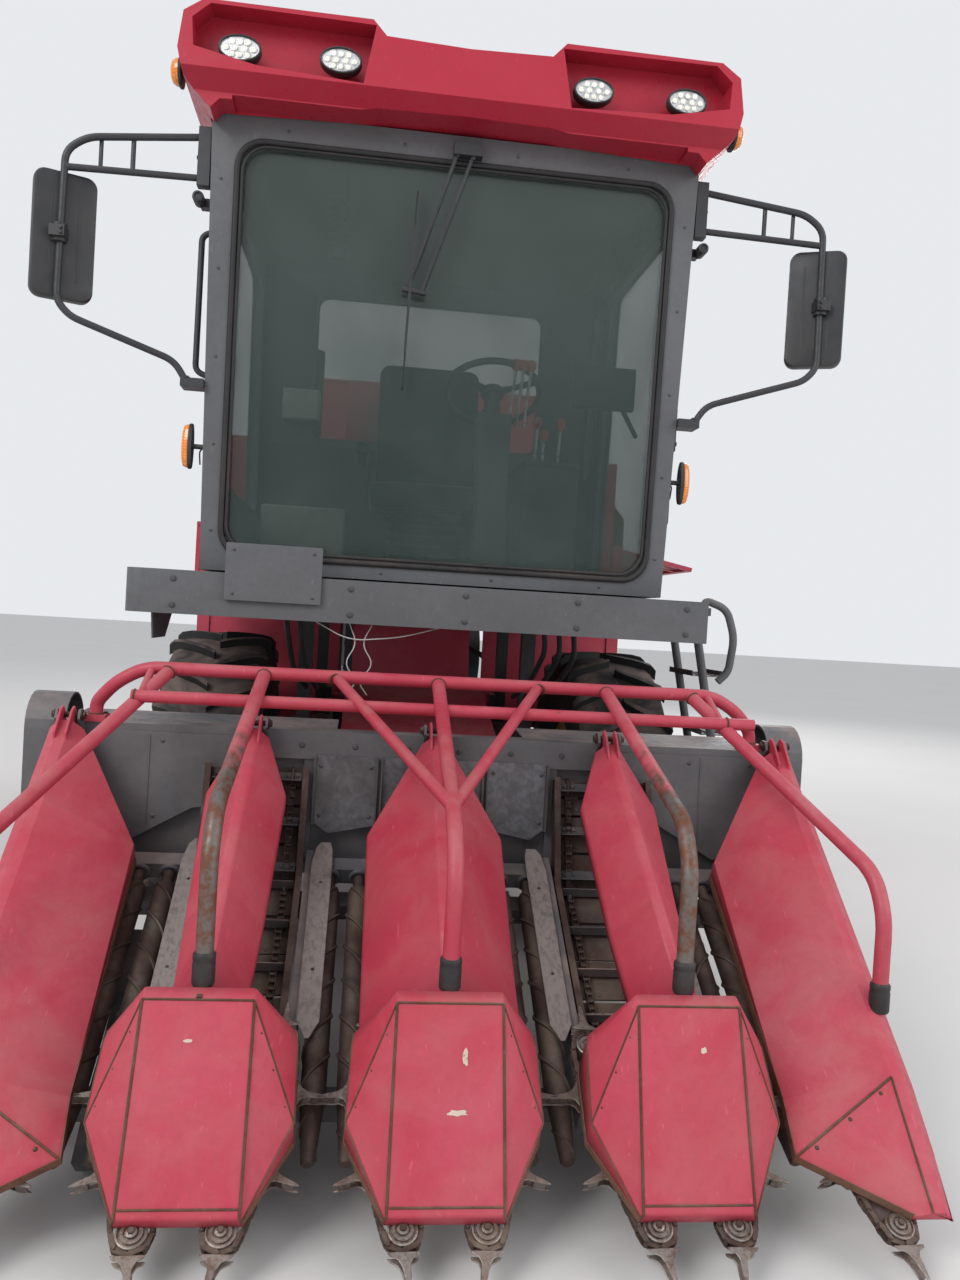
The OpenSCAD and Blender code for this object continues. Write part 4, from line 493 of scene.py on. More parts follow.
def material(name):
    """The harvester's materials, each made once from the chosen colours."""
    if name not in MATERIALS:
        c = bpy.context.scene.harvester_colours
        red, faded, grey, dust, rust, brown, bright = (
            tuple(v) for v in (c.red, c.faded, c.grey, c.dust, c.rust, c.brown, c.bright))
        makers = {
            "snout_red": (painted_sheet, red, faded, dust, rust, 0.72, 0.4, 0.42, 0.22, 0.004),
            "panel_red": (painted_sheet, red, faded, dust, rust, 0.72, 0.5, 0.36, 0.4, 0.005),
            "rail_red": (painted_sheet, shade(red, 0.92), faded, dust, rust, 0.66, 0.4, 0.4, 0.35, 0.001),
            "rail_worn": (worn_leg, shade(red, 0.92), faded, dust, rust, bright),
            "rusty_lip": (worn_steel, shade(rust, 1.5), shade(rust, 0.7), shade(brown, 2.0), 0.3, 12.0,
                          0.15, 0.7),
            "primer": (painted_sheet, (0.62, 0.5, 0.4), (0.7, 0.62, 0.52), dust, rust, 0.62, 0.4, 0.6, 0.4,
                       0.001),
            "roll_steel": (worn_steel, shade(brown, 0.8), shade(rust, 0.6), shade(bright, 0.25), 0.42, 9.0,
                           0.35, 0.5),
            "conveyor_steel": (worn_steel, shade(brown, 0.9), shade(rust, 0.6), shade(bright, 0.35), 0.4,
                               7.0, 0.45, 0.5),
            "roof_red": (painted_sheet, tuple(c.roof), red, dust, shade(red, 0.5), 0.8, 0.35, 0.26, 0.25,
                         0.003),
            "charcoal": (painted_sheet, grey, shade(grey, 1.5), dust, rust, 0.7, 0.6, 0.42, 0.5, 0.003),
            "chassis": (painted_sheet, shade(grey, 0.6), grey, dust, rust, 0.64, 0.5, 0.5, 0.6, 0.002),
            "brown_steel": (worn_steel, brown, shade(rust, 0.7), shade(bright, 0.5), 0.42),
            "rubbed_steel": (worn_steel, shade(brown, 1.6), rust, bright, 0.56, 20.0, 0.85, 0.34),
            "seam_rust": (worn_steel, rust, shade(rust, 0.55), shade(brown, 1.8), 0.35, 30.0, 0.2, 0.75),
            "chrome_rod": (worn_steel, (0.3, 0.28, 0.26), (0.2, 0.15, 0.1), (0.62, 0.62, 0.63), 0.8, 8.0,
                           1.0, 0.16, 0.0002),
            "tyre": (rubber, tuple(c.rubber), dust, 0.7),
            "black_steel": (painted_sheet, (0.03, 0.031, 0.034), (0.06, 0.062, 0.066), dust, rust, 0.7,
                            0.4, 0.38, 0.3, 0.0006),
            "reflector": (worn_steel, (0.5, 0.5, 0.48), (0.4, 0.38, 0.33), (0.75, 0.76, 0.76), 0.8, 20.0,
                          0.9, 0.22, 0.0001),
            "led": (lens, (0.92, 0.9, 0.78), 0.25),
            "red_lens": (lens, (0.5, 0.012, 0.012)),
            "silvering": (worn_steel, (0.55, 0.57, 0.6), (0.45, 0.45, 0.45), (0.75, 0.77, 0.8), 0.85, 3.0,
                          1.0, 0.05, 0.0),
            "pale_plastic": (moulded, (0.42, 0.42, 0.4), 0.5),
            "knob": (moulded, (0.5, 0.05, 0.04), 0.3),
            "mat": (rubber, (0.02, 0.02, 0.021), dust, 0.4, 0.7, 4.0),
            "seal": (rubber, tuple(c.rubber), dust, 0.15, 0.6, 4.0),
            "rim_yellow": (painted_sheet, tuple(c.rim), shade(c.rim, 1.3), dust, rust, 0.66, 0.4, 0.4, 0.6,
                           0.001),
            "zinc": (galvanised, tuple(c.zinc)),
            "plank": (weathered_wood, tuple(c.plank), shade(c.plank, 0.4)),
            "pane": (glass, tuple(c.tint), 0.42),
            "amber": (lens, tuple(c.amber)),
            "lamp_lens": (lens, (0.62, 0.66, 0.62)),
            "plastic": (moulded, tuple(c.plastic)),
            "cab_trim": (moulded, (0.06, 0.062, 0.065), 0.6),
            "seat_cloth": (woven, (0.03, 0.031, 0.034)),
            "engine_paint": (painted_sheet, tuple(c.engine), shade(c.engine, 1.5), dust, rust, 0.66, 0.4,
                             0.45, 0.6, 0.001),
            "hot_steel": (worn_steel, (0.12, 0.06, 0.035), rust, (0.2, 0.16, 0.13), 0.4, 10.0, 0.5, 0.6),
        }
        make, *values = makers[name]
        MATERIALS[name] = make(name, *values)
    return MATERIALS[name]


# Node materials: which finish each CAD node gets
NODE_FINISH = {
    "chassis": ("chassis_frame", "front_axle", "rear_axle", "knuckle_left", "knuckle_right", "tie_rod",
                "lift_barrels", "tank_barrels"),
    "engine_paint": ("engine",),
    "plastic": ("radiator", "fuel_tank", "wipers", "mirrors", "steering_console"),
    "charcoal": ("platform", "ladder", "cab_frame", "door_frame", "header_frame", "row_units"),
    "pane": ("cab_glass", "door_glass"),
    "roof_red": ("cab_roof",),
    "seat_cloth": ("cab_seat",),
    "lamp_lens": ("lamps",),
    "panel_red": ("body_panels", "ear_elevator", "husker", "feeder_house", "cover_left", "cover_right",
                  "ear_tank", "chopper_housing"),
    "hot_steel": ("exhaust",),
    "snout_red": ("outer_snouts", "inner_snouts"),
    "rail_red": ("guard_rail",),
    "brown_steel": ("gathering_chains", "ear_conveyors", "cross_auger", "chopper_rotor",
                    *(f"roll_{k}" for k in range(1, 9))),
    "chrome_rod": ("lift_rods", "tank_rods"),
    "tyre": ("front_tyre_left", "front_tyre_right", "rear_tyre_left", "rear_tyre_right"),
    "rim_yellow": ("front_rim_left", "front_rim_right", "rear_rim_left", "rear_rim_right"),
}


class HARVESTER_OT_finishes(Operator):
    """Give every CAD node its paint, steel, glass or rubber"""

    bl_idname = "harvester.finishes"
    bl_label = "Node finishes"

    EDGES = {"cab_roof": 0.014, "platform": 0.004, "cab_frame": 0.004, "door_frame": 0.003,
             "header_frame": 0.003, "feeder_house": 0.003, "cover_left": 0.004, "cover_right": 0.004}

    def execute(self, context):
        for finish, names in NODE_FINISH.items():
            for name in names:
                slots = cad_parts[name].data.materials
                slots.clear()
                slots.append(material(finish))
        for name, width in self.EDGES.items():
            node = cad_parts[name]
            node.modifiers.new("Joined corners", "WELD").merge_threshold = 0.0001
            add_bevel(node, width, 3, 12)
        left = set(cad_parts) - {n for names in NODE_FINISH.values() for n in names}
        if left:
            raise RuntimeError(f"nodes without a finish: {sorted(left)}")
        return {"FINISHED"}


class HARVESTER_OT_stage(Operator):
    """Pale floor, soft studio light and the camera at the photograph's angle"""

    bl_idname = "harvester.stage"
    bl_label = "Stage"

    # Each lamp's name, place, aim, size and power
    LAMPS = (("key_light", (-6.5, -9.0, 8.0), (0, -1.5, 1.2), 5.0, 620),
             ("fill_light", (7.5, -7.0, 5.0), (0, -1.5, 1.0), 6.0, 260),
             ("back_light", (4.0, 9.0, 7.5), (0, 0, 1.5), 5.0, 420))
    # The camera's yaw, pitch and roll in degrees, its place, and its focal length over the picture's height
    TURNS, EYE, FOCAL = (6.571, 1.217, 3.361), (-0.247, -5.927, 1.444), 1007.3 / 1280
    SENSOR = 36.0

    def execute(self, context):
        scene = context.scene
        scene.view_settings.view_transform = "Standard"
        self.floor()
        self.lights(scene)
        self.camera(scene)
        return {"FINISHED"}

    def floor(self):
        half = 60
        mesh = bpy.data.meshes.new("studio_floor")
        mesh.from_pydata([(-half, -half, 0), (half, -half, 0), (half, half, 0), (-half, half, 0)], [],
                         [(0, 1, 2, 3)])
        floor = bpy.data.objects.new("studio_floor", mesh)
        bpy.context.scene.collection.objects.link(floor)
        f = Finish("studio_floor")
        cloud = f.noise(0.6, 3.0)
        f.set(Base_Color=f.mix(cloud, (0.66, 0.65, 0.63), (0.72, 0.71, 0.69)), Roughness=0.9)
        mesh.materials.append(f.material)

    def lights(self, scene):
        world = bpy.data.worlds.new("studio_light")
        scene.world = world
        world.use_nodes = True
        tree = world.node_tree
        light = tree.nodes["Background"]
        light.inputs["Color"].default_value = (0.93, 0.95, 1.0, 1)
        light.inputs["Strength"].default_value = 0.75
        backdrop = tree.nodes.new("ShaderNodeBackground")
        backdrop.inputs["Color"].default_value = (0.80, 0.82, 0.85, 1)
        rays = tree.nodes.new("ShaderNodeLightPath")
        seen = tree.nodes.new("ShaderNodeMath")
        seen.operation = "MAXIMUM"
        tree.links.new(rays.outputs["Is Camera Ray"], seen.inputs[0])
        tree.links.new(rays.outputs["Is Transmission Ray"], seen.inputs[1])
        both = tree.nodes.new("ShaderNodeMixShader")
        tree.links.new(seen.outputs[0], both.inputs[0])
        tree.links.new(light.outputs[0], both.inputs[1])
        tree.links.new(backdrop.outputs[0], both.inputs[2])
        tree.links.new(both.outputs[0], tree.nodes["World Output"].inputs[0])
        for name, place_at, aim, size, power in self.LAMPS:
            data = bpy.data.lights.new(name, "AREA")
            data.size, data.energy = size, power
            lamp = bpy.data.objects.new(name, data)
            lamp.location = place_at
            lamp.rotation_mode = "QUATERNION"
            lamp.rotation_quaternion = (Vector(aim) - Vector(place_at)).to_track_quat("-Z", "Y")
            scene.collection.objects.link(lamp)

    def camera(self, scene):
        yaw, pitch, roll = (radians(a) for a in self.TURNS)
        ahead = Vector((sin(yaw) * cos(pitch), cos(yaw) * cos(pitch), -sin(pitch)))
        side = Vector((cos(yaw), -sin(yaw), 0))
        top = side.cross(ahead)
        right = side * cos(roll) + top * sin(roll)
        up = top * cos(roll) - side * sin(roll)
        data = bpy.data.cameras.new("camera")
        data.sensor_width, data.lens = self.SENSOR, self.SENSOR * self.FOCAL
        data.clip_start, data.clip_end = 0.05, 200
        camera = bpy.data.objects.new("camera", data)
        camera.matrix_world = Matrix((right, up, -ahead)).transposed().to_4x4()
        camera.location = self.EYE
        scene.collection.objects.link(camera)
        scene.camera = camera


# Row frame: x across, u up the slope from the first idler, w off the row plane
SNOUTS = (-1.14, -0.57, 0.0, 0.57, 1.14)
RIDGE = 0.257
# A nose's sections: half width, place up the slope, low edge, shoulder, front panel's half width and height
NOSE_SECTIONS = ((0.134, 0.01, -0.026, -0.01, 0.130, 0.004), (0.228, 0.19, -0.024, 0.066, 0.127, 0.15),
                 (0.222, 0.349, -0.02, 0.122, 0.124, 0.279), (0.218, 0.381, -0.018, 0.126, 0.123, 0.2815))
STALKS = (-0.842, -0.265, 0.265, 0.842)
# The rolls' axes: how far off the row plane, and how far beside the stalk line
ROLL_LEVEL, ROLL_ASIDE = -0.098, 0.045
# The row frame's origin, and its slope
ROW_Y, ROW_Z, ROW_TURN = -3.790, 0.135, radians(30)
ROW = shift(0, ROW_Y, ROW_Z) @ turned(ROW_TURN, "X")


def row(x, u, w):
    """World place of a point in the row frame."""
    return Vector((x, ROW_Y + u * cos(ROW_TURN) - w * sin(ROW_TURN),
                   ROW_Z + u * sin(ROW_TURN) + w * cos(ROW_TURN)))


def row_way(x, u, w):
    """World direction of a direction in the row frame."""
    return ROW.to_3x3() @ Vector((x, u, w))


def bolt(shape, at, out, r=0.008, h=0.006):
    """A hex head on a washer, standing along out."""
    z = Vector(out).normalized()
    m = place(at, z.orthogonal(), z)
    shape.lathe([(r * 1.45, -0.001), (r * 1.45, 0.0012), (r * 1.3, 0.0018)], 16, m)
    levels = ((r, 0.0), (r, h * 0.85), (r * 0.86, h))
    head = [[(x, y, up) for x, y in ellipse(wide, wide, 6)] for wide, up in levels]
    return shape.skin(head, matrix=m)


def dome(shape, at, out, r=0.006, h=0.003, steps=14):
    """A round screw or rivet head."""
    z = Vector(out).normalized()
    profile = [(r * cos(a), h * sin(a)) for a in (0, 0.45, 0.9, 1.3)]
    return shape.lathe([(r, -0.001), *profile], steps, place(at, z.orthogonal(), z))


def strip(shape, path, up, out, width, thick):
    """A flat band along a path: width along up, thickness along out."""
    up, out = Vector(up).normalized(), Vector(out).normalized()
    rings = [[Vector(p), Vector(p) + up * width, Vector(p) + up * width + out * thick,
              Vector(p) + out * thick] for p in path]
    return shape.skin(rings)


def ring_bead(shape, at, axis, r, bead, steps=24, sides=8):
    """A weld bead or hose ring: a torus round an axis."""
    z = Vector(axis).normalized()
    return shape.torus(r, bead, steps, sides, place(at, z.orthogonal(), z))


class HARVESTER_OT_guard_rail(Operator):
    """Bent tube guard rail with worn legs, welds and rubber boots"""

    bl_idname = "harvester.guard_rail"
    bl_label = "Guard rail"

    LEG_ENDS = {0.0: (-3.575, 0.568), 0.57: (-3.575, 0.568), 1.162: (-3.42, 0.468)}

    def execute(self, context):
        r = context.scene.harvester_sizes.rail / 2
        rail_y, top, low_y, low_z, beam = -2.67, 1.23, -2.83, 1.154, 1.05
        tubes, worn, welds, boots = Shape(), Shape(), Shape(), Shape()
        side = [(-1.075, rail_y + 0.044, beam + 0.008), (-1.075, rail_y + 0.044, beam + 0.06),
                (-1.01, rail_y + 0.006, top - 0.05), (-0.92, rail_y, top)]
        tubes.tube(rounded(side + [(-x, y, z) for x, y, z in side[::-1]], 0.06), r, 18)
        tubes.tube([(-0.925, low_y, low_z), (1.005, low_y, low_z)], r * 0.9, 18)
        neck = (0, -3.455, 0.95)
        for x, (y, z) in self.LEG_ENDS.items():
            for s in ((1,) if x == 0 else (-1, 1)):
                if x:
                    start = (s * (0.553 if x < 1 else 0.84), rail_y, top)
                    bend = 0.3 if x < 1 else 0.25
                    path = [start, (s * x, y + 0.07, z + bend + 0.1), (s * x, y, z + bend),
                            (s * x, y, z + 0.02)]
                else:
                    path = [(0, rail_y, top), neck, (0, -3.575, 0.85), (0, -3.579, z + 0.02)]
                (worn if x == 0.57 else tubes).tube(rounded(path, 0.09, 8), r, 18)
                way = Vector(path[1]) - Vector(path[0])
                ring_bead(welds, Vector(path[0]) + way.normalized() * r * 0.98, way, r * 0.98, 0.0035)
                cross = Vector(path[0]) + way * ((low_y - rail_y) / way.y)
                ring_bead(welds, (cross.x, low_y, low_z), (1, 0, 0), r * 0.92, 0.003)
                boots.lathe([(0.004, -0.002), (r + 0.003, -0.002), (r + 0.0055, 0.004), (r + 0.0055, 0.05),
                             (r + 0.004, 0.056), (r + 0.0055, 0.06), (r + 0.0055, 0.07), (r + 0.001, 0.076)],
                            28, shift(s * x, y, z))
        for s in (-1, 1):
            tubes.tube([(s * 0.33, rail_y, top), (0, neck[1] + 0.04, 0.965)], r * 0.8, 16)
            tubes.tube([(s * 0.9, low_y, low_z), (s * 0.9, rail_y, top)], 0.012, 14)
            ring_bead(welds, (s * 0.33, rail_y - r * 0.8, top - 0.006), (s * -0.33, -0.745, -0.265),
                      r * 0.8, 0.003)
            tubes.box(s * 1.075 - 0.035, s * 1.075 + 0.035, -2.658, -2.59, beam + 0.0005, beam + 0.022)
            ring_bead(welds, (s * 1.075, rail_y + 0.044, beam + 0.023), (0, 0, 1), r, 0.004)
            for dx in (-0.024, 0.024):
                bolt(welds, (s * 1.075 + dx, -2.602, beam + 0.022), (0, 0, 1), 0.007)
        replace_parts(piece("guard_rail_tubes", tubes, "rail_red", "header", 40), "guard_rail")
        piece("guard_rail_inner_legs", worn, "rail_worn", "header", 40)
        piece("guard_rail_welds", welds, "seam_rust", "header", 40)
        piece("guard_rail_boots", boots, "seal", "header", 40)
        return {"FINISHED"}


def sheet(name, shape, finish, body, thick=0.004, fold=0.004):
    """Folded sheet metal: an open skin thickened inwards, its folds rounded."""
    made = piece(name, shape, finish, body, 0)
    bend = add_bevel(made, fold, 3, 8)
    solid = made.modifiers.new("Sheet thickness", "SOLIDIFY")
    solid.thickness, solid.offset = thick, -1.0
    bend.use_clamp_overlap = True
    made.data.shade_smooth()
    made.data.set_sharp_from_angle(angle=radians(32))
    return made


class HARVESTER_OT_snouts(Operator):
    """Folded snouts with seams, lips, screws, chips and hinges"""

    bl_idname = "harvester.snouts"
    bl_label = "Snouts"

    def execute(self, context):
        seams, lips, screws, chips, lugs = Shape(), Shape(), Shape(), Shape(), Shape()
        made = []
        for x in SNOUTS:
            if abs(x) < 1:
                self.nose(x, seams, lips, screws)
                made.append(self.cap(x))
                made.append(self.gable(x))
            else:
                self.outer(copysign(1, x), seams, lips, screws)
                made.append(self.outer_sheet(copysign(1, x)))
            self.hinge(x, screws, lugs)
        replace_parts(made[0], "outer_snouts")
        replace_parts(made[1], "inner_snouts")
        for x, high, size, corners in ((0.035, 0.73, (0.009, 0.026), 5), (0.02, 0.47, (0.03, 0.008), 6),
                                         (-0.585, 0.8, (0.016, 0.005), 4), (0.6, 0.78, (0.01, 0.009), 5)):
            self.chip(chips, x, high, size, corners)
        piece("snout_seams", seams, "seam_rust", "header", 40)
        piece("snout_lips", lips, "rusty_lip", "header", 30, 0.0012)
        piece("snout_screws", screws, "brown_steel", "header")
        piece("snout_paint_chips", chips, "primer", "header", 30)
        piece("snout_hinges", lugs, "snout_red", "header", 30, 0.002)
        return {"FINISHED"}

    def tag(self, x):
        """A snout's place in its pieces' names."""
        return {-1.14: "right_outer", -0.57: "right_inner", 0.0: "centre", 0.57: "left_inner",
                1.14: "left_outer"}[x]

    def cap(self, x):
        """The nose: front panel, side facets and a turned top edge, open behind and below."""
        sections = [((h, u, low), (h, u, w), (top, u, ridge)) for h, u, low, w, top, ridge in NOSE_SECTIONS]
        points, faces = [], []
        for ring in sections:
            points += [row(x - h, u, w) for h, u, w in ring] + [row(x + h, u, w) for h, u, w in ring[::-1]]
        for k in range(3):
            a, b = 6 * k, 6 * (k + 1)
            faces.append((a, b, b + 1, a + 1))
            faces.append((a + 4, b + 4, b + 5, a + 5))
            faces.append((a + 2, b + 2, b + 3, a + 3))
            faces += [(a + 1, b + 1, b + 2), (a + 1, b + 2, a + 2), (a + 4, b + 3, b + 4),
                      (a + 4, a + 3, b + 3)]
        faces.append((0, 1, 2, 3, 4, 5))
        return sheet("snout_nose_" + self.tag(x), Shape().add(points, faces), "snout_red",
                     "header", 0.004, 0.005)

    def gable(self, x):
        """The long roof-shaped body behind a nose."""
        wide = x == 0.0
        front, half, drop = (0.205, 0.205, 0.208) if wide else (0.085, 0.118, 0.125)
        rings = []
        for u, h, low, shoulder, ridge in (
            (0.377, front, RIDGE - drop - 0.034, RIDGE - drop, RIDGE + 0.021),
            (0.7, (front + half) / 2, RIDGE - drop - 0.028, RIDGE - drop + 0.004, RIDGE + 0.016),
            (1.1 if wide else 1.17, half, RIDGE - drop + 0.02, RIDGE - drop + 0.0526, RIDGE + 0.01),
            (1.392, 0.044, 0.15, 0.231, 0.265),
        ):
            rings.append([row(x + h, u, low), row(x + h, u, shoulder), row(x + 0.013, u, ridge),
                          row(x - 0.013, u, ridge), row(x - h, u, shoulder), row(x - h, u, low)])
        points = [p for r in rings for p in r]
        faces = [(6 * k + i, 6 * k + i + 1, 6 * k + i + 7, 6 * k + i + 6) for k in range(3) for i in range(5)]
        faces.append((18, 19, 20, 21, 22, 23))
        return sheet("snout_body_" + self.tag(x), Shape().add(points, faces), "snout_red",
                     "header", 0.004, 0.007)

    def outer_sheet(self, s):
        """The long folded sheet of an outer snout, upright on its outer side."""
        x = s * 1.14
        rings = []
        for u, inner, out, low, shoulder, ridge in (
            (0.008, 0.06, 0.04, -0.022, -0.012, 0.004), (0.15, 0.295, 0.0497, -0.024, -0.008, 0.041),
            (0.303, 0.275, 0.0497, -0.025, -0.009, 0.083), (1.08, 0.255, 0.0497, -0.02, 0.054, 0.213),
            (1.392, 0.05, 0.0497, 0.15, 0.231, 0.265),
        ):
            rings.append([row(x - s * inner, u, low), row(x - s * inner, u, shoulder),
                          row(x - s * 0.016, u, ridge), row(x + s * 0.016, u, ridge),
                          row(x + s * out, u, ridge - 0.03), row(x + s * out, u, low)])
        points = [p for r in rings for p in r]
        faces = [(6 * k + i, 6 * k + i + 1, 6 * k + i + 7, 6 * k + i + 6) for k in range(4) for i in range(5)]
        faces += [(0, 1, 2, 3, 4, 5), (24, 25, 26, 27, 28, 29)]
        return sheet("snout_sheet_" + self.tag(x), Shape().add(points, faces), "snout_red",
                     "header", 0.004, 0.005)

    def nose(self, x, seams, lips, screws):
        """Seams, rusty lips and screws of an inner snout's nose."""
        for s in (-1, 1):
            a, b, c = ((x + s * top, u, ridge) for h, u, low, w, top, ridge in NOSE_SECTIONS[:3])
            s0, s1, s2, s3 = ((x + s * h, u, w) for h, u, low, w, top, ridge in NOSE_SECTIONS)
            for path, r in (((a, b, c), 0.0034), ((c, s1), 0.0022), ((s0, s1, s2, s3), 0.002),
                            ((a, s0), 0.003)):
                seams.tube([row(*p) for p in path], r, 8)
            low = [(x + s * h, u, w) for h, u, w in (
                (0.134, 0.01, -0.027), (0.228, 0.19, -0.025), (0.222, 0.349, -0.021), (0.218, 0.38, -0.019))]
            strip(lips, [row(*p) for p in low], row_way(0, 0, 1), (s, 0, 0), 0.021, 0.002)
            out = (row_way(s * 0.62, -0.34, 0.7)).normalized()
            for t in (0.2, 0.5, 0.8):
                at = row(*(Vector(c).lerp(Vector(s1), t) + Vector((s * -0.002, -0.012, -0.012))))
                dome(screws, at, out, 0.0055, 0.003)
        for u, w in ((0.024, 0.0158), (0.349, 0.2797)):
            seams.tube([row(x - 0.124, u, w), row(x + 0.124, u, w)], 0.0028, 8)
        if abs(x + 0.57) < 0.01:
            screws.box(-0.006, 0.006, 0.352, 0.362, 0.278, 0.2835, ROW @ shift(x, 0, 0))

    def outer(self, s, seams, lips, screws):
        """Seams, lips and screws of an outer snout."""
        x = s * 1.14
        inner = [(0.06, 0.008, -0.022, -0.012), (0.295, 0.15, -0.024, -0.008), (0.275, 0.303, -0.025, -0.009),
                 (0.255, 1.08, -0.02, 0.054)]
        seams.tube([row(x - s * 0.016, u, w) for u, w in ((0.008, 0.004), (0.15, 0.041), (0.303, 0.0835))],
                   0.003, 8)
        seams.tube([row(x - s * 0.016, 0.303, 0.0835), row(x - s * 0.294, 0.15, -0.0075)], 0.0032, 8)
        strip(lips, [row(x - s * h, u, low - 0.001) for h, u, low, w in inner],
              row_way(0, 0, 1), (-s, 0, 0), 0.024, 0.002)
        for t in (0.14, 0.48, 0.84):
            at = row(x - s * 0.016, 0.29, 0.0785).lerp(row(x - s * 0.282, 0.142, -0.008), t)
            dome(screws, at, row_way(-s * 0.27, -0.28, 0.92), 0.0055, 0.0025)

    def hinge(self, x, screws, lugs):
        """Two lugs with a pin at a snout's upper end."""
        for s in (-1, 1):
            bolt(screws, row(x + s * 0.0405, 1.422, 0.262), (s, 0, 0), 0.012, 0.01)
            plate = [(1.302, 0.222), (1.434, 0.222), (1.436, 0.27), (1.428, 0.292),
                     (1.4, 0.295), (1.32, 0.27)]
            ring = [[row(x + s * 0.017 + dx, u, w) for u, w in plate] for dx in (-0.004, 0.004)]
            lugs.skin(ring)
        screws.tube([row(x - 0.04, 1.422, 0.262), row(x + 0.04, 1.422, 0.262)], 0.009, 14)

    def chip(self, chips, x, high, size, corners):
        """A flake of lost paint on a nose's front panel, at a share of the panel's height."""
        centre = row(0, 0.01 + 0.339 * high, 0.004 + 0.275 * high + 0.0006)
        normal = row_way(0, -0.275, 0.339).normalized()
        m = place((x, centre.y, centre.z), (1, 0, 0), normal)
        rnd = random.Random(corners * 7 + int(high * 100))
        outline = []
        for k in range(corners * 2):
            a, far = tau * k / (corners * 2), rnd.uniform(0.55, 1.0)
            outline.append((size[0] * far * cos(a), size[1] * far * sin(a)))
        chips.prism(outline, -0.001, 0.0009, m)


def belt_path(centres, r, arc=8):
    """Closed path of a belt round equal wheels whose centres are anticlockwise."""
    made, n = [], len(centres)
    centres = [Vector(c) for c in centres]
    ways = [(centres[(i + 1) % n] - centres[i]).normalized() for i in range(n)]
    outs = [Vector((w.y, -w.x)) for w in ways]
    for i in range(n):
        a, b = outs[i - 1], outs[i]
        turn = atan2(a.x * b.y - a.y * b.x, a.dot(b))
        for k in range(arc + 1):
            t = turn * k / arc
            made.append(centres[i] + r * Vector((a.x * cos(t) - a.y * sin(t), a.x * sin(t) + a.y * cos(t))))
    return made


def along(path, count, start=0.0):
    """Places and directions at equal steps along a closed 2D path."""
    lengths = [(path[(i + 1) % len(path)] - path[i]).length for i in range(len(path))]
    total, made, i, gone = sum(lengths), [], 0, 0.0
    for k in range(count):
        s = (k + start) * total / count
        while gone + lengths[i] < s and i < len(path) - 1:
            gone += lengths[i]
            i += 1
        t = (s - gone) / lengths[i] if lengths[i] else 0.0
        a, b = path[i], path[(i + 1) % len(path)]
        made.append((a.lerp(b, t), atan2(b.y - a.y, b.x - a.x)))
    return made, total


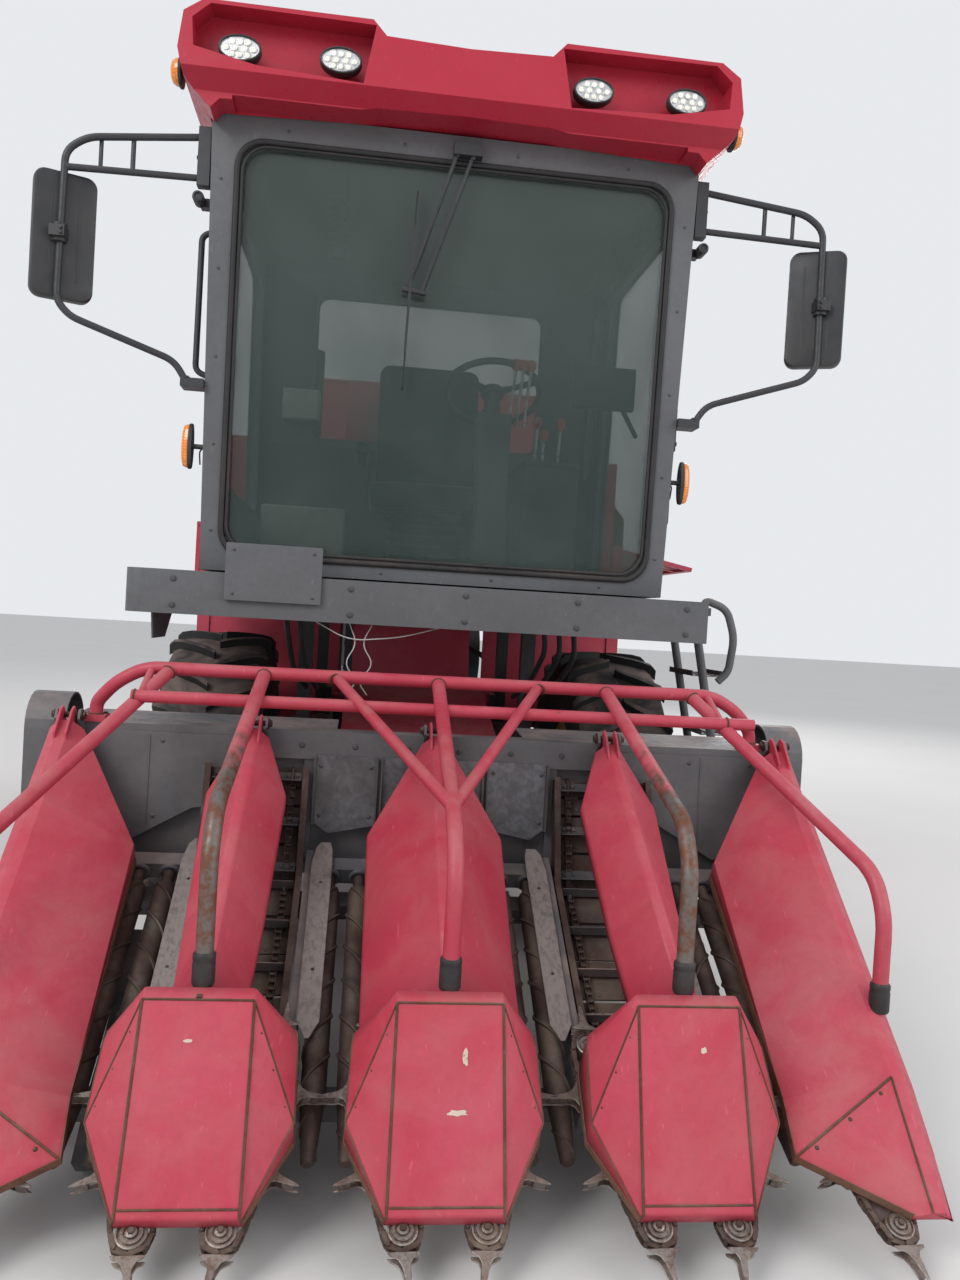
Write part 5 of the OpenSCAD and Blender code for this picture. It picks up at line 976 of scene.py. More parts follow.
class HARVESTER_OT_chains(Operator):
    """Gathering chains: link plates, rollers and claw lugs on their wheels"""

    bl_idname = "harvester.chains"
    bl_label = "Gathering chains"

    LOOPS = ((0.0, 1), (0.57, -1), (0.57, 1), (1.14, -1))
    WHEELS = ((0.092, 0.0), (0.173, 0.3), (0.173, 0.47))
    LEVEL, BELT, LINKS, CLAW_STEP = -0.04, 0.042, 34, 0.2

    def execute(self, context):
        chain, lugs, wheels, marks = Shape(), Shape(), Shape(), Shape()
        for x, side in self.LOOPS:
            one, claw, hub, bolts = Shape(), Shape(), Shape(), Shape()
            self.loop(one, claw)
            for c in self.WHEELS:
                m = shift(*c, self.LEVEL)
                hub.lathe([(0.0335, -0.014), (0.0335, 0.014), (0.03, 0.0155), (0.03, 0.011), (0.024, 0.011),
                           (0.024, 0.0165), (0.017, 0.0165), (0.017, 0.013), (0.0125, 0.013), (0.0125, 0.02),
                           (0.008, 0.022)], 28, m)
                hub.lathe([(0.0125, -0.026), (0.0125, -0.013)], 16, m)
                bolts.skin([[(x, y, self.LEVEL + z) for x, y in ellipse(r, r, 6, *c)]
                            for r, z in ((0.008, 0.02), (0.008, 0.026), (0.0068, 0.0275))])
            at = shift(x, 0, 0) @ (MIRROR if side < 0 else Matrix.Identity(4))
            for whole, part in ((chain, one), (lugs, claw), (wheels, hub), (marks, bolts)):
                whole.shape(part, ROW @ at)
        mirror_all(chain, lugs, wheels, marks)
        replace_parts(piece("gathering_chain_links", chain, "brown_steel", "header", 40), "gathering_chains")
        piece("gathering_chain_lugs", lugs, "rubbed_steel", "header", 40, 0.0015)
        piece("gathering_chain_wheels", wheels, "rubbed_steel", "header", 40)
        piece("gathering_chain_bolts", marks, "brown_steel", "header", 40)
        return {"FINISHED"}

    def loop(self, chain, lugs):
        path = belt_path(self.WHEELS, self.BELT)
        spots, total = along(path, self.LINKS)
        pitch = total / self.LINKS
        outline = [(pitch * (0.62 if abs(c) > 0.5 else 0.6) * c, 0.0075 * s * (1 if abs(c) > 0.5 else 0.8))
                   for c, s in ellipse(1, 1, 12)]
        for k, ((p, _), (q, _)) in enumerate(zip(spots, spots[1:] + spots[:1])):
            middle, step = (p + q) / 2, q - p
            m = shift(middle.x, middle.y, self.LEVEL) @ turned(atan2(step.y, step.x), "Z")
            half = 0.0105 if k % 2 else 0.0065
            for z in (-1, 1):
                chain.prism(outline, z * half - 0.0018, z * half + 0.0018, m)
            chain.lathe([(0.006, -0.0085), (0.006, 0.0085)], 10, shift(p.x, p.y, self.LEVEL))
            chain.lathe([(0.003, -0.0135), (0.003, 0.0135)], 8, shift(p.x, p.y, self.LEVEL))
        for p, angle in along(path, int(total / self.CLAW_STEP), 0.35)[0]:
            self.claw(lugs, shift(p.x, p.y, self.LEVEL) @ turned(angle + pi, "Z"))

    def claw(self, lugs, m):
        """A lug of two shaped plates with a block between them."""
        base = [(-0.036, 0.004), (0.036, 0.004), (0.034, 0.011), (0.02, 0.018), (0.014, 0.03), (0.0155, 0.05),
                (0.0145, 0.074), (0.012, 0.0835), (0.008, 0.08), (0.003, 0.062), (-0.003, 0.036),
                (-0.012, 0.021), (-0.03, 0.012)]
        lugs.prism(base, 0.0115, 0.0155, m)
        lugs.prism([(x * 0.96, y * 0.97) for x, y in base], -0.0155, -0.0115, m)
        lugs.prism([(0.0, 0.042), (0.013, 0.042), (0.0125, 0.07), (0.008, 0.07)], -0.012, 0.012, m)


class HARVESTER_OT_rolls(Operator):
    """Snapping rolls with spiral noses and slanting ribs"""

    bl_idname = "harvester.rolls"
    bl_label = "Snapping rolls"

    def execute(self, context):
        for k in range(1, 9):
            hand = 1 if k % 2 else -1
            x = STALKS[(k - 1) // 2] - ROLL_ASIDE * hand
            roll = Shape()
            roll.lathe([(0.0135, 0.0), (0.017, 0.004), (0.031, 0.16), (0.0325, 0.172), (0.0325, 0.86),
                        (0.03, 0.869), (0.018, 0.871), (0.018, 0.926)], 32)
            self.helix(roll, 0.01, 0.17, 1.1, 0.0165, 0.0315, 0.0045, hand)
            for start in (0.0, pi):
                self.helix(roll, 0.175, 0.862, 2.86, 0.0328, 0.0328, 0.0052, hand, start)
            m = ROW @ shift(x, 0.19, ROLL_LEVEL) @ turned(-pi / 2, "X")
            whole = Shape().shape(roll, m)
            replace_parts(piece(f"snapping_roll_{k}", whole, "roll_steel", f"row_roll_{k}", 40), f"roll_{k}")
        return {"FINISHED"}

    def helix(self, shape, z0, z1, turns, r0, r1, bead, hand, start=0.0):
        """A round bead that winds along the roll."""
        steps = int(26 * turns) + 4
        path = []
        for i in range(steps + 1):
            t = i / steps
            a, r = start + hand * tau * turns * t, r0 + (r1 - r0) * t
            path.append((r * cos(a), r * sin(a), z0 + (z1 - z0) * t))
        shape.tube(path, bead, 6)


class HARVESTER_OT_row_units(Operator):
    """Boards, bearing plates and chain carriers between the snapping rolls and the conveyors"""

    bl_idname = "harvester.row_units"
    bl_label = "Row units"

    def execute(self, context):
        boards, plates, bolts = Shape(), Shape(), Shape()
        for x0, x1, low in ((0.307, 0.366, 0.5), (0.697, 0.758, 0.6)):
            tip = 0.024 if x0 < 0.5 else 0.004
            outline = [(x0 + tip, low), (x1 - tip, low), (x1, low + 0.05), (x1 + 0.004, 1.13),
                       (x1 - 0.006, 1.2), (x1 - 0.02, 1.225), (x0 + 0.008, 1.225), (x0, 1.19),
                       (x0 - 0.002, 1.12), (x0, low + 0.05)]
            boards.prism(outline, -0.0545, -0.0495, ROW)
            edge = x1 if x0 < 0.5 else x0
            boards.box(edge - 0.0025, edge + 0.0025, low + 0.05, 1.12, -0.11, -0.052, ROW)
            for u in (0.72, 1.05):
                dome(bolts, row((x0 + x1) / 2, u, -0.0496), row_way(0, 0, 1), 0.0055, 0.0012)
        for x in STALKS[2:]:
            plates.box(x - 0.1, x + 0.1, 1.126, 1.176, -0.128, -0.068, ROW)
            for s in (-ROLL_ASIDE, ROLL_ASIDE):
                plates.lathe([(0.033, 0), (0.033, 0.008), (0.026, 0.012), (0.026, 0.006), (0.02, 0.006)], 24,
                             place(row(x + s, 1.126, ROLL_LEVEL), (1, 0, 0), row_way(0, -1, 0)))
            for s in (-0.085, 0.085):
                bolt(bolts, row(x + s, 1.126, ROLL_LEVEL), row_way(0, -1, 0), 0.009)
        for x, side in HARVESTER_OT_chains.LOOPS:
            plate = [(0.07, -0.02), (0.11, -0.024), (0.185, 0.26), (0.185, 0.51), (0.125, 0.51),
                     (0.125, 0.33)]
            m = ROW @ shift(x, 0, 0) @ (MIRROR if side < 0 else Matrix.Identity(4))
            plates.prism(plate, -0.062, -0.054, m)
        mirror_all(boards, plates, bolts)
        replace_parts(piece("row_boards", boards, "plank", "header", 35, 0.0015), "row_units")
        piece("row_plates", plates, "charcoal", "header", 35, 0.0015)
        piece("row_bolts", bolts, "brown_steel", "header")
        return {"FINISHED"}


class HARVESTER_OT_conveyors(Operator):
    """Ear conveyors: folded beds, roller chains and angle slats with holes"""

    bl_idname = "harvester.conveyors"
    bl_label = "Ear conveyors"

    CHAIN_LINES = (0.447, 0.666)

    def execute(self, context):
        beds, chains, slats = Shape(), Shape(), Shape()
        lower = ROW @ shift(0, 0.25, -0.12)
        head = shift(0, -2.769, 0.586) @ turned(radians(72), "X")
        self.run(beds, chains, slats, lower, 0.87, 6)
        self.run(beds, chains, slats, head, 0.36, 3)
        mirror_all(beds, chains, slats)
        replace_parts(piece("conveyor_beds", beds, "conveyor_steel", "header", 35, 0.001), "ear_conveyors")
        piece("conveyor_chains", chains, "brown_steel", "header", 40)
        piece("conveyor_slats", slats, "chassis", "header", 35, 0.001)
        return {"FINISHED"}

    def run(self, beds, chains, slats, m, length, slat_count):
        """One straight stretch of a conveyor, from the origin of m along its y."""
        left, right = 0.405, 0.708
        up = m.to_3x3() @ Vector((0, 0, 1))
        for x in (left, right):
            beds.box(x - 0.002, x + 0.002, 0, length, -0.045, 0.05, m)
            beds.box(x - 0.01, x + 0.01, 0, length, 0.05, 0.053, m)
        for x in self.CHAIN_LINES:
            self.chain(chains, x, length, m)
            chains.lathe([(0.034, -0.006), (0.036, -0.004), (0.036, 0.004), (0.034, 0.006)], 18,
                         m @ shift(x, length - 0.03, -0.012) @ turned(pi / 2, "Y"))
        for k in range(6):
            y = k * length / 6
            lift = 0.003 * (k % 2)
            beds.box(left, right, y + 0.004, y + length / 6 - 0.004, lift - 0.008, lift - 0.002, m)
            for x in (0.48, 0.63):
                dome(beds, m @ Vector((x, y + 0.02, lift - 0.002)), up, 0.007, 0.003)
        for k in range(slat_count):
            y = 0.04 + k * (length - 0.08) / (slat_count - 1)
            slats.box(left + 0.014, right - 0.014, y - 0.005, y - 0.002, 0.014, 0.046, m)
            slats.box(left + 0.014, right - 0.014, y - 0.003, y + 0.024, 0.0142, 0.0172, m)
            for x in self.CHAIN_LINES:
                for dx in (-0.016, 0.016):
                    dome(slats, m @ Vector((x + dx, y + 0.012, 0.0172)), up, 0.0055, 0.004)
                    at = m @ Vector((x + dx, y - 0.0052, 0.034))
                    slats.lathe([(0.003, -0.0002), (0.003, 0.0006), (0.0014, 0.0008)], 10,
                                place(at, (1, 0, 0), m.to_3x3() @ Vector((0, -1, 0))))

    def chain(self, chains, x, length, m):
        pitch, y = 0.0254, 0.015
        count = int((length - 0.03) / pitch)
        for k in range(count):
            at = m @ shift(x, y + k * pitch, 0.014)
            chains.lathe([(0.0055, -0.008), (0.0055, 0.008)], 8, at @ turned(pi / 2, "Y"))
            w = 0.0095 if k % 2 else 0.0075
            for s in (-1, 1):
                chains.box(s * w - 0.0009, s * w + 0.0009, -0.003, pitch + 0.003, -0.006, 0.006, at)
        chains.box(x - 0.0072, x + 0.0072, 0.01, length - 0.01, 0.0006, 0.009, m)


# The cab: its floor's height, its walls' height, a side wall's place at the floor and the mat's underside
CAB_FLOOR, CAB_WALLS, CAB_SIDE, MAT_LEVEL = 1.56, 1.57, 0.835, 1.605


def cab_lean(z, whole):
    """How far a wall that leans out by whole over its height has come at z."""
    return whole * (z - CAB_FLOOR) / CAB_WALLS


def cab_side_x(z):
    """X of the cab's leaning left side at a height."""
    return CAB_SIDE + cab_lean(z, 0.025)


def cab_front_y(z):
    """Y of the cab's leaning front at a height."""
    return -2.29 - cab_lean(z, 0.07)


def cushion(name, x0, x1, y0, y1, z0, z1, r, crown, matrix=None):
    """A stuffed pad: a rounded block whose faces swell and whose seams pull in."""
    shape, corner_steps, layers = Shape(), 6, 8
    rings = []
    for k in range(layers + 1):
        t = k / layers
        lift = sin(pi * t)
        inset = r * (1 - lift ** 0.5)
        outline = round_rect(x0 + inset, x1 - inset, y0 + inset, y1 - inset, r, corner_steps)
        rings.append([(x, y, z0 + (z1 - z0) * (0.5 - 0.5 * cos(pi * t))) for x, y in outline])
    shape.skin(rings, matrix=matrix)
    mx, my = (x0 + x1) / 2, (y0 + y1) / 2
    top = round_rect(x0 + r, x1 - r, y0 + r, y1 - r, r * 0.5, corner_steps)
    rise = [[(mx + (x - mx) * s, my + (y - my) * s, z1 - 0.001 + crown * h) for x, y in top]
            for s, h in ((1.0, 0.0), (0.92, 0.45), (0.75, 0.8), (0.45, 0.97), (0.12, 1.0))]
    shape.skin(rise, matrix=matrix)
    made = piece(name, shape, "seat_cloth", "machine", 60)
    return made


class HARVESTER_OT_roof(Operator):
    """Work, turn and side lamps, rear lenses and lamp brackets"""

    bl_idname = "harvester.roof"
    bl_label = "Lamps"

    def execute(self, context):
        cases, mirrors, leds, amber, metal, red = (Shape() for _ in range(6))
        for x in (0.43, 0.76):
            self.work_lamp(cases, mirrors, leds, metal, x)
        metal.box(0.586, 0.614, -2.42, -2.412, 3.222, 3.246)
        metal.box(0.592, 0.608, -2.4205, -2.4195, 3.214, 3.222)
        m = place((0.9553, -2.4, 3.215), (0, 0, 1), (1, 0, 0))
        cases.lathe([(0.05, 0.0), (0.05, 0.008), (0.046, 0.011)], 32, m)
        amber.lathe([(0.045, 0.008), (0.0435, 0.02), (0.036, 0.032), (0.02, 0.038), (0.004, 0.0385)], 32, m)
        cases.tube([(0.8422, -2.27, 1.99), (0.887, -2.27, 1.99)], 0.009, 12)
        cases.tube(rounded([(0.8422, -2.262, 1.995), (0.86, -2.262, 1.975), (0.858, -2.25, 1.93)],
                           0.01), 0.003, 8)
        turn = place((0.883, -2.27, 1.99), (0, 0, 1), (1, 0, 0))
        self.oval(cases, turn, ((0.078, 0.03, 0.0), (0.08, 0.032, 0.004), (0.08, 0.032, 0.012),
                                (0.077, 0.029, 0.014)))
        self.oval(amber, turn, ((0.0765, 0.0285, 0.012), (0.0755, 0.0275, 0.022), (0.07, 0.024, 0.031),
                                (0.052, 0.016, 0.036), (0.02, 0.006, 0.038)))
        red.box(0.86, 1.0, 3.4402, 3.464, 1.675, 1.735)
        mirror_all(cases, mirrors, leds, amber, metal, red)
        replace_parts(piece("lamp_cases", cases, "plastic", "machine", 35, 0.001), "lamps")
        piece("lamp_reflectors", mirrors, "reflector", "machine")
        piece("lamp_leds", leds, "led", "machine", 40)
        piece("amber_lamps", amber, "amber", "machine", 40)
        piece("lamp_brackets", metal, "zinc", "machine", 35, 0.0008)
        piece("rear_lamp_lenses", red, "red_lens", "machine", 35, 0.003)
        return {"FINISHED"}

    def oval(self, shape, m, rings):
        """Skins ovals given by half width, half height and height along m's z."""
        return shape.skin([[(x, y, h) for x, y in ellipse(a, b, 40)] for a, b, h in rings], matrix=m)

    def work_lamp(self, cases, mirrors, leds, metal, x):
        m = place((x, -2.468, 3.268), (1, 0, 0), (0, -1, 0.06))
        self.oval(cases, m, ((0.055, 0.034, -0.02), (0.066, 0.042, -0.008), (0.07, 0.046, 0.004),
                             (0.07, 0.046, 0.028), (0.0685, 0.0445, 0.032), (0.064, 0.04, 0.033),
                             (0.063, 0.039, 0.026)))
        self.oval(mirrors, m, ((0.0635, 0.0395, 0.02), (0.0635, 0.0395, 0.0265)))
        spots = [(dx, dy) for dy, row_of in ((0.021, (-0.025, 0.0, 0.025)),
                                             (0.0, (-0.045, -0.016, 0.016, 0.045)),
                                             (-0.021, (-0.025, 0.0, 0.025))) for dx in row_of]
        for dx, dy in spots:
            at = m @ shift(dx, dy, 0.0262)
            mirrors.lathe([(0.0115, 0.0), (0.0115, 0.0035), (0.0098, 0.0037), (0.0085, 0.0012)], 14, at)
            leds.lathe([(0.0086, 0.0008), (0.0075, 0.0028), (0.0045, 0.0042), (0.001, 0.0046)], 14, at)
        cases.lathe([(0.022, -0.045), (0.022, -0.018)], 20, m)
        metal.box(x - 0.016, x + 0.016, -2.47, -2.411, 3.318, 3.322)
        metal.box(x - 0.016, x + 0.016, -2.414, -2.4105, 3.25, 3.32)
        metal.box(x - 0.01, x + 0.01, -2.47, -2.4105, 3.258, 3.278)
        bolt(metal, (x, -2.445, 3.322), (0, 0, 1), 0.006)


class HARVESTER_OT_mirrors(Operator):
    """Mirrors on bent tube arms, side cameras and the wiper"""

    bl_idname = "harvester.mirrors"
    bl_label = "Mirrors and wiper"

    def execute(self, context):
        arms, house, faces, small = Shape(), Shape(), Shape(), Shape()
        y0, y1, x0 = -2.33, -2.41, 0.849
        arms.tube(rounded([(x0 + 0.04, y0, 3.04), (1.25, y1, 2.965), (1.318, y1, 2.915), (1.325, y1, 2.42),
                           (1.28, y1, 2.37), (0.95, y0, 2.27), (0.905, y0, 2.2)], 0.05), 0.012, 14)
        arms.tube([(x0 + 0.04, y0, 2.9), (1.32, y1, 2.86)], 0.0115, 14)
        arms.tube([(1.11, -2.372, 2.88), (1.11, -2.372, 3.0)], 0.008, 12)
        arms.tube([(1.21, -2.39, 2.872), (1.21, -2.39, 2.974)], 0.007, 12)
        arms.box(x0 + 0.012, x0 + 0.054, y0 - 0.02, y0 + 0.02, 2.87, 3.07)
        arms.box(0.8592, x0 + 0.013, y0 - 0.01, -2.25, 2.88, 3.06)
        arms.box(0.8457, 0.925, y0 - 0.012, -2.26, 2.185, 2.215)
        for z in (2.9, 2.97, 3.04):
            bolt(small, (x0 + 0.054, y0, z), (1, 0, 0), 0.007)
        bolt(small, (0.905, y0 - 0.002, 2.216), (0, 0, 1), 0.009)
        turn = shift(1.325, y1 + 0.04, 2.64) @ turned(radians(-24), "Z")
        flat = turn @ turned(pi / 2, "X")
        layers = ((0.8, -0.03), (0.93, -0.028), (0.985, -0.018), (1.0, 0.0), (0.985, 0.017), (0.93, 0.0275))
        house.skin([[(x * (1 - (1 - k) * 0.55), y * (1 - (1 - k) * 0.3), -z) for x, y in round_rect(
            -0.1, 0.1, -0.21, 0.21, 0.036, 7)] for k, z in layers[::-1]], matrix=flat)
        faces.prism(round_rect(-0.086, 0.086, -0.194, 0.194, 0.03, 6), -0.0305, -0.0292, flat)
        for dx in (-0.045, 0.0, 0.045):
            house.box(dx - 0.004, dx + 0.004, -0.15, 0.15, 0.027, 0.031, flat)
        small.lathe([(0.024, 0), (0.024, 0.06)], 24, shift(1.325, y1, 2.61))
        small.box(1.3, 1.35, y1 - 0.034, y1 + 0.022, 2.622, 2.658)
        for z in (2.632, 2.648):
            bolt(small, (1.312, y1 - 0.034, z), (0, -1, 0), 0.005)
        m = place((0.895, -2.3, 2.83), (1, 0, 0), (0, -1, 0))
        small.lathe([(0.02, 0.0), (0.02, 0.05), (0.018, 0.058), (0.012, 0.06), (0.011, 0.055)], 22, m)
        small.box(0.8558, 0.895, -2.301, -2.26, 2.815, 2.845)
        mirror_all(arms, house, faces, small)
        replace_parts(piece("mirror_arms", arms, "black_steel", "machine", 40, 0.0008), "mirrors")
        piece("mirror_housings", house, "plastic", "machine")
        piece("mirror_faces", faces, "silvering", "machine", 30)
        piece("mirror_clamps", small, "plastic", "machine", 35, 0.0008)
        self.wiper()
        return {"FINISHED"}

    def wiper(self):
        def on_glass(x, z, off=0.026):
            return Vector((x, cab_front_y(z) - off, z))
        arms, blade = Shape(), Shape()
        for a, b in (((-0.01, 3.075), (-0.165, 2.58)), ((0.045, 3.07), (-0.115, 2.57))):
            p, q = on_glass(*a), on_glass(*b)
            way = (q - p).normalized()
            strip(arms, [p.lerp(q, t) - Vector((0.008, 0.004, 0)) for t in (0, 1)], (1, 0, 0.3),
                  (0, 1, 0), 0.014, 0.005)
            arms.tube([p.lerp(q, 0.12), p.lerp(q, 0.34)], 0.0045, 10)
            arms.tube([p - way * 0.012, p + way * 0.03], 0.009, 12)
        arms.tube([on_glass(-0.182, 2.578), on_glass(-0.098, 2.57)], 0.009, 12)
        arms.box(-0.03, 0.07, cab_front_y(3.075) - 0.0415, cab_front_y(3.075) - 0.0015, 3.05, 3.096)
        strip(blade, [on_glass(-0.15, 2.92, 0.02), on_glass(-0.1575, 2.58, 0.02),
                      on_glass(-0.165, 2.24, 0.02)], (1, 0, 0), (0, 1, 0), 0.006, 0.012)
        strip(arms, [on_glass(-0.153, 2.8, 0.028), on_glass(-0.16, 2.58, 0.036),
                     on_glass(-0.165, 2.36, 0.028)], (1, 0, 0), (0, 1, 0), 0.009, 0.006)
        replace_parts(piece("wiper_arms", arms, "black_steel", "machine", 35, 0.0006), "wipers")
        piece("wiper_blade", blade, "seal", "machine")


class HARVESTER_OT_cab(Operator):
    """Window seals, handles and rivets of the cab and its door"""

    bl_idname = "harvester.cab"
    bl_label = "Cab fittings"

    def execute(self, context):
        seals, trim, small = Shape(), Shape(), Shape()
        front = round_rect(-0.762, 0.762, 1.622, 3.03, 0.09, 8)
        for r, off, grow in ((0.011, 0.001, 0.006), (0.006, 0.004, -0.012)):
            seals.tube([(x + grow * copysign(min(1, abs(x) / 0.7), x), cab_front_y(z) - off,
                         z + grow * (1 if z > 2.3 else -1)) for x, z in front], r, 8, True)
        side = round_rect(-2.19, -0.98, 1.89, 3.0, 0.06, 6)
        seals.tube([(-cab_side_x(z) - 0.0005, y, z) for y, z in side], 0.009, 8, True)
        rear = round_rect(-0.56, 0.56, 2.28, 2.98, 0.06, 6)
        seals.tube([(x, -0.8595, z) for x, z in rear], 0.009, 8, True)
        quarter = round_rect(-1.1, -0.92, 2.16, 3.0, 0.04, 6)
        seals.tube([(cab_side_x(z) + 0.0005, y, z) for y, z in quarter], 0.008, 8, True)
        for s in (-1, 1):
            for z in (1.7, 2.0, 2.3, 2.6, 2.9):
                dome(small, (s * (0.8 + cab_lean(z, 0.025)), cab_front_y(z) - 0.0002, z),
                     (0, -1, 0.04), 0.006)
        for x in (-0.6, -0.2, 0.2, 0.6):
            dome(small, (x, cab_front_y(1.585) - 0.0002, 1.585), (0, -1, 0.04), 0.006)
            dome(small, (x, cab_front_y(3.08) - 0.0002, 3.08), (0, -1, 0.04), 0.006)
        trim.tube(rounded([(-0.849, -2.2, 2.25), (-0.9, -2.2, 2.27), (-0.9, -2.2, 2.75),
                           (-0.857, -2.2, 2.77)], 0.03), 0.011, 12)
        piece("cab_window_seals", seals, "seal", "machine", 50)
        piece("cab_grab_handle", trim, "black_steel", "machine", 40)
        piece("cab_rivets", small, "chassis", "machine")
        self.door()
        return {"FINISHED"}

    def door(self):
        seals, small = Shape(), Shape()

        def out(z, off):
            return cab_side_x(z) + off
        glass_edge = round_rect(-2.15, -1.24, 1.67, 2.98, 0.05, 6)
        seals.tube([(out(z, 0.0005), y, z) for y, z in glass_edge], 0.009, 8, True)
        small.box(out(2.2, -0.001), out(2.2, 0.04), -2.196, -2.166, 2.12, 2.28)
        small.lathe([(0.009, 0.0), (0.009, 0.006), (0.004, 0.007)], 16,
                    place((out(2.2, 0.04), -2.181, 2.15), (0, 0, 1), (1, 0, 0)))
        small.tube(rounded([(out(1.9, 0), -2.17, 1.82), (out(1.9, 0.035), -2.17, 1.84),
                            (out(1.9, 0.035), -2.17, 2.04), (out(1.95, 0), -2.17, 2.06)], 0.02), 0.007, 10)
        piece("door_window_seal", seals, "seal", "door", 50)
        piece("door_handles", small, "plastic", "door", 35, 0.003)


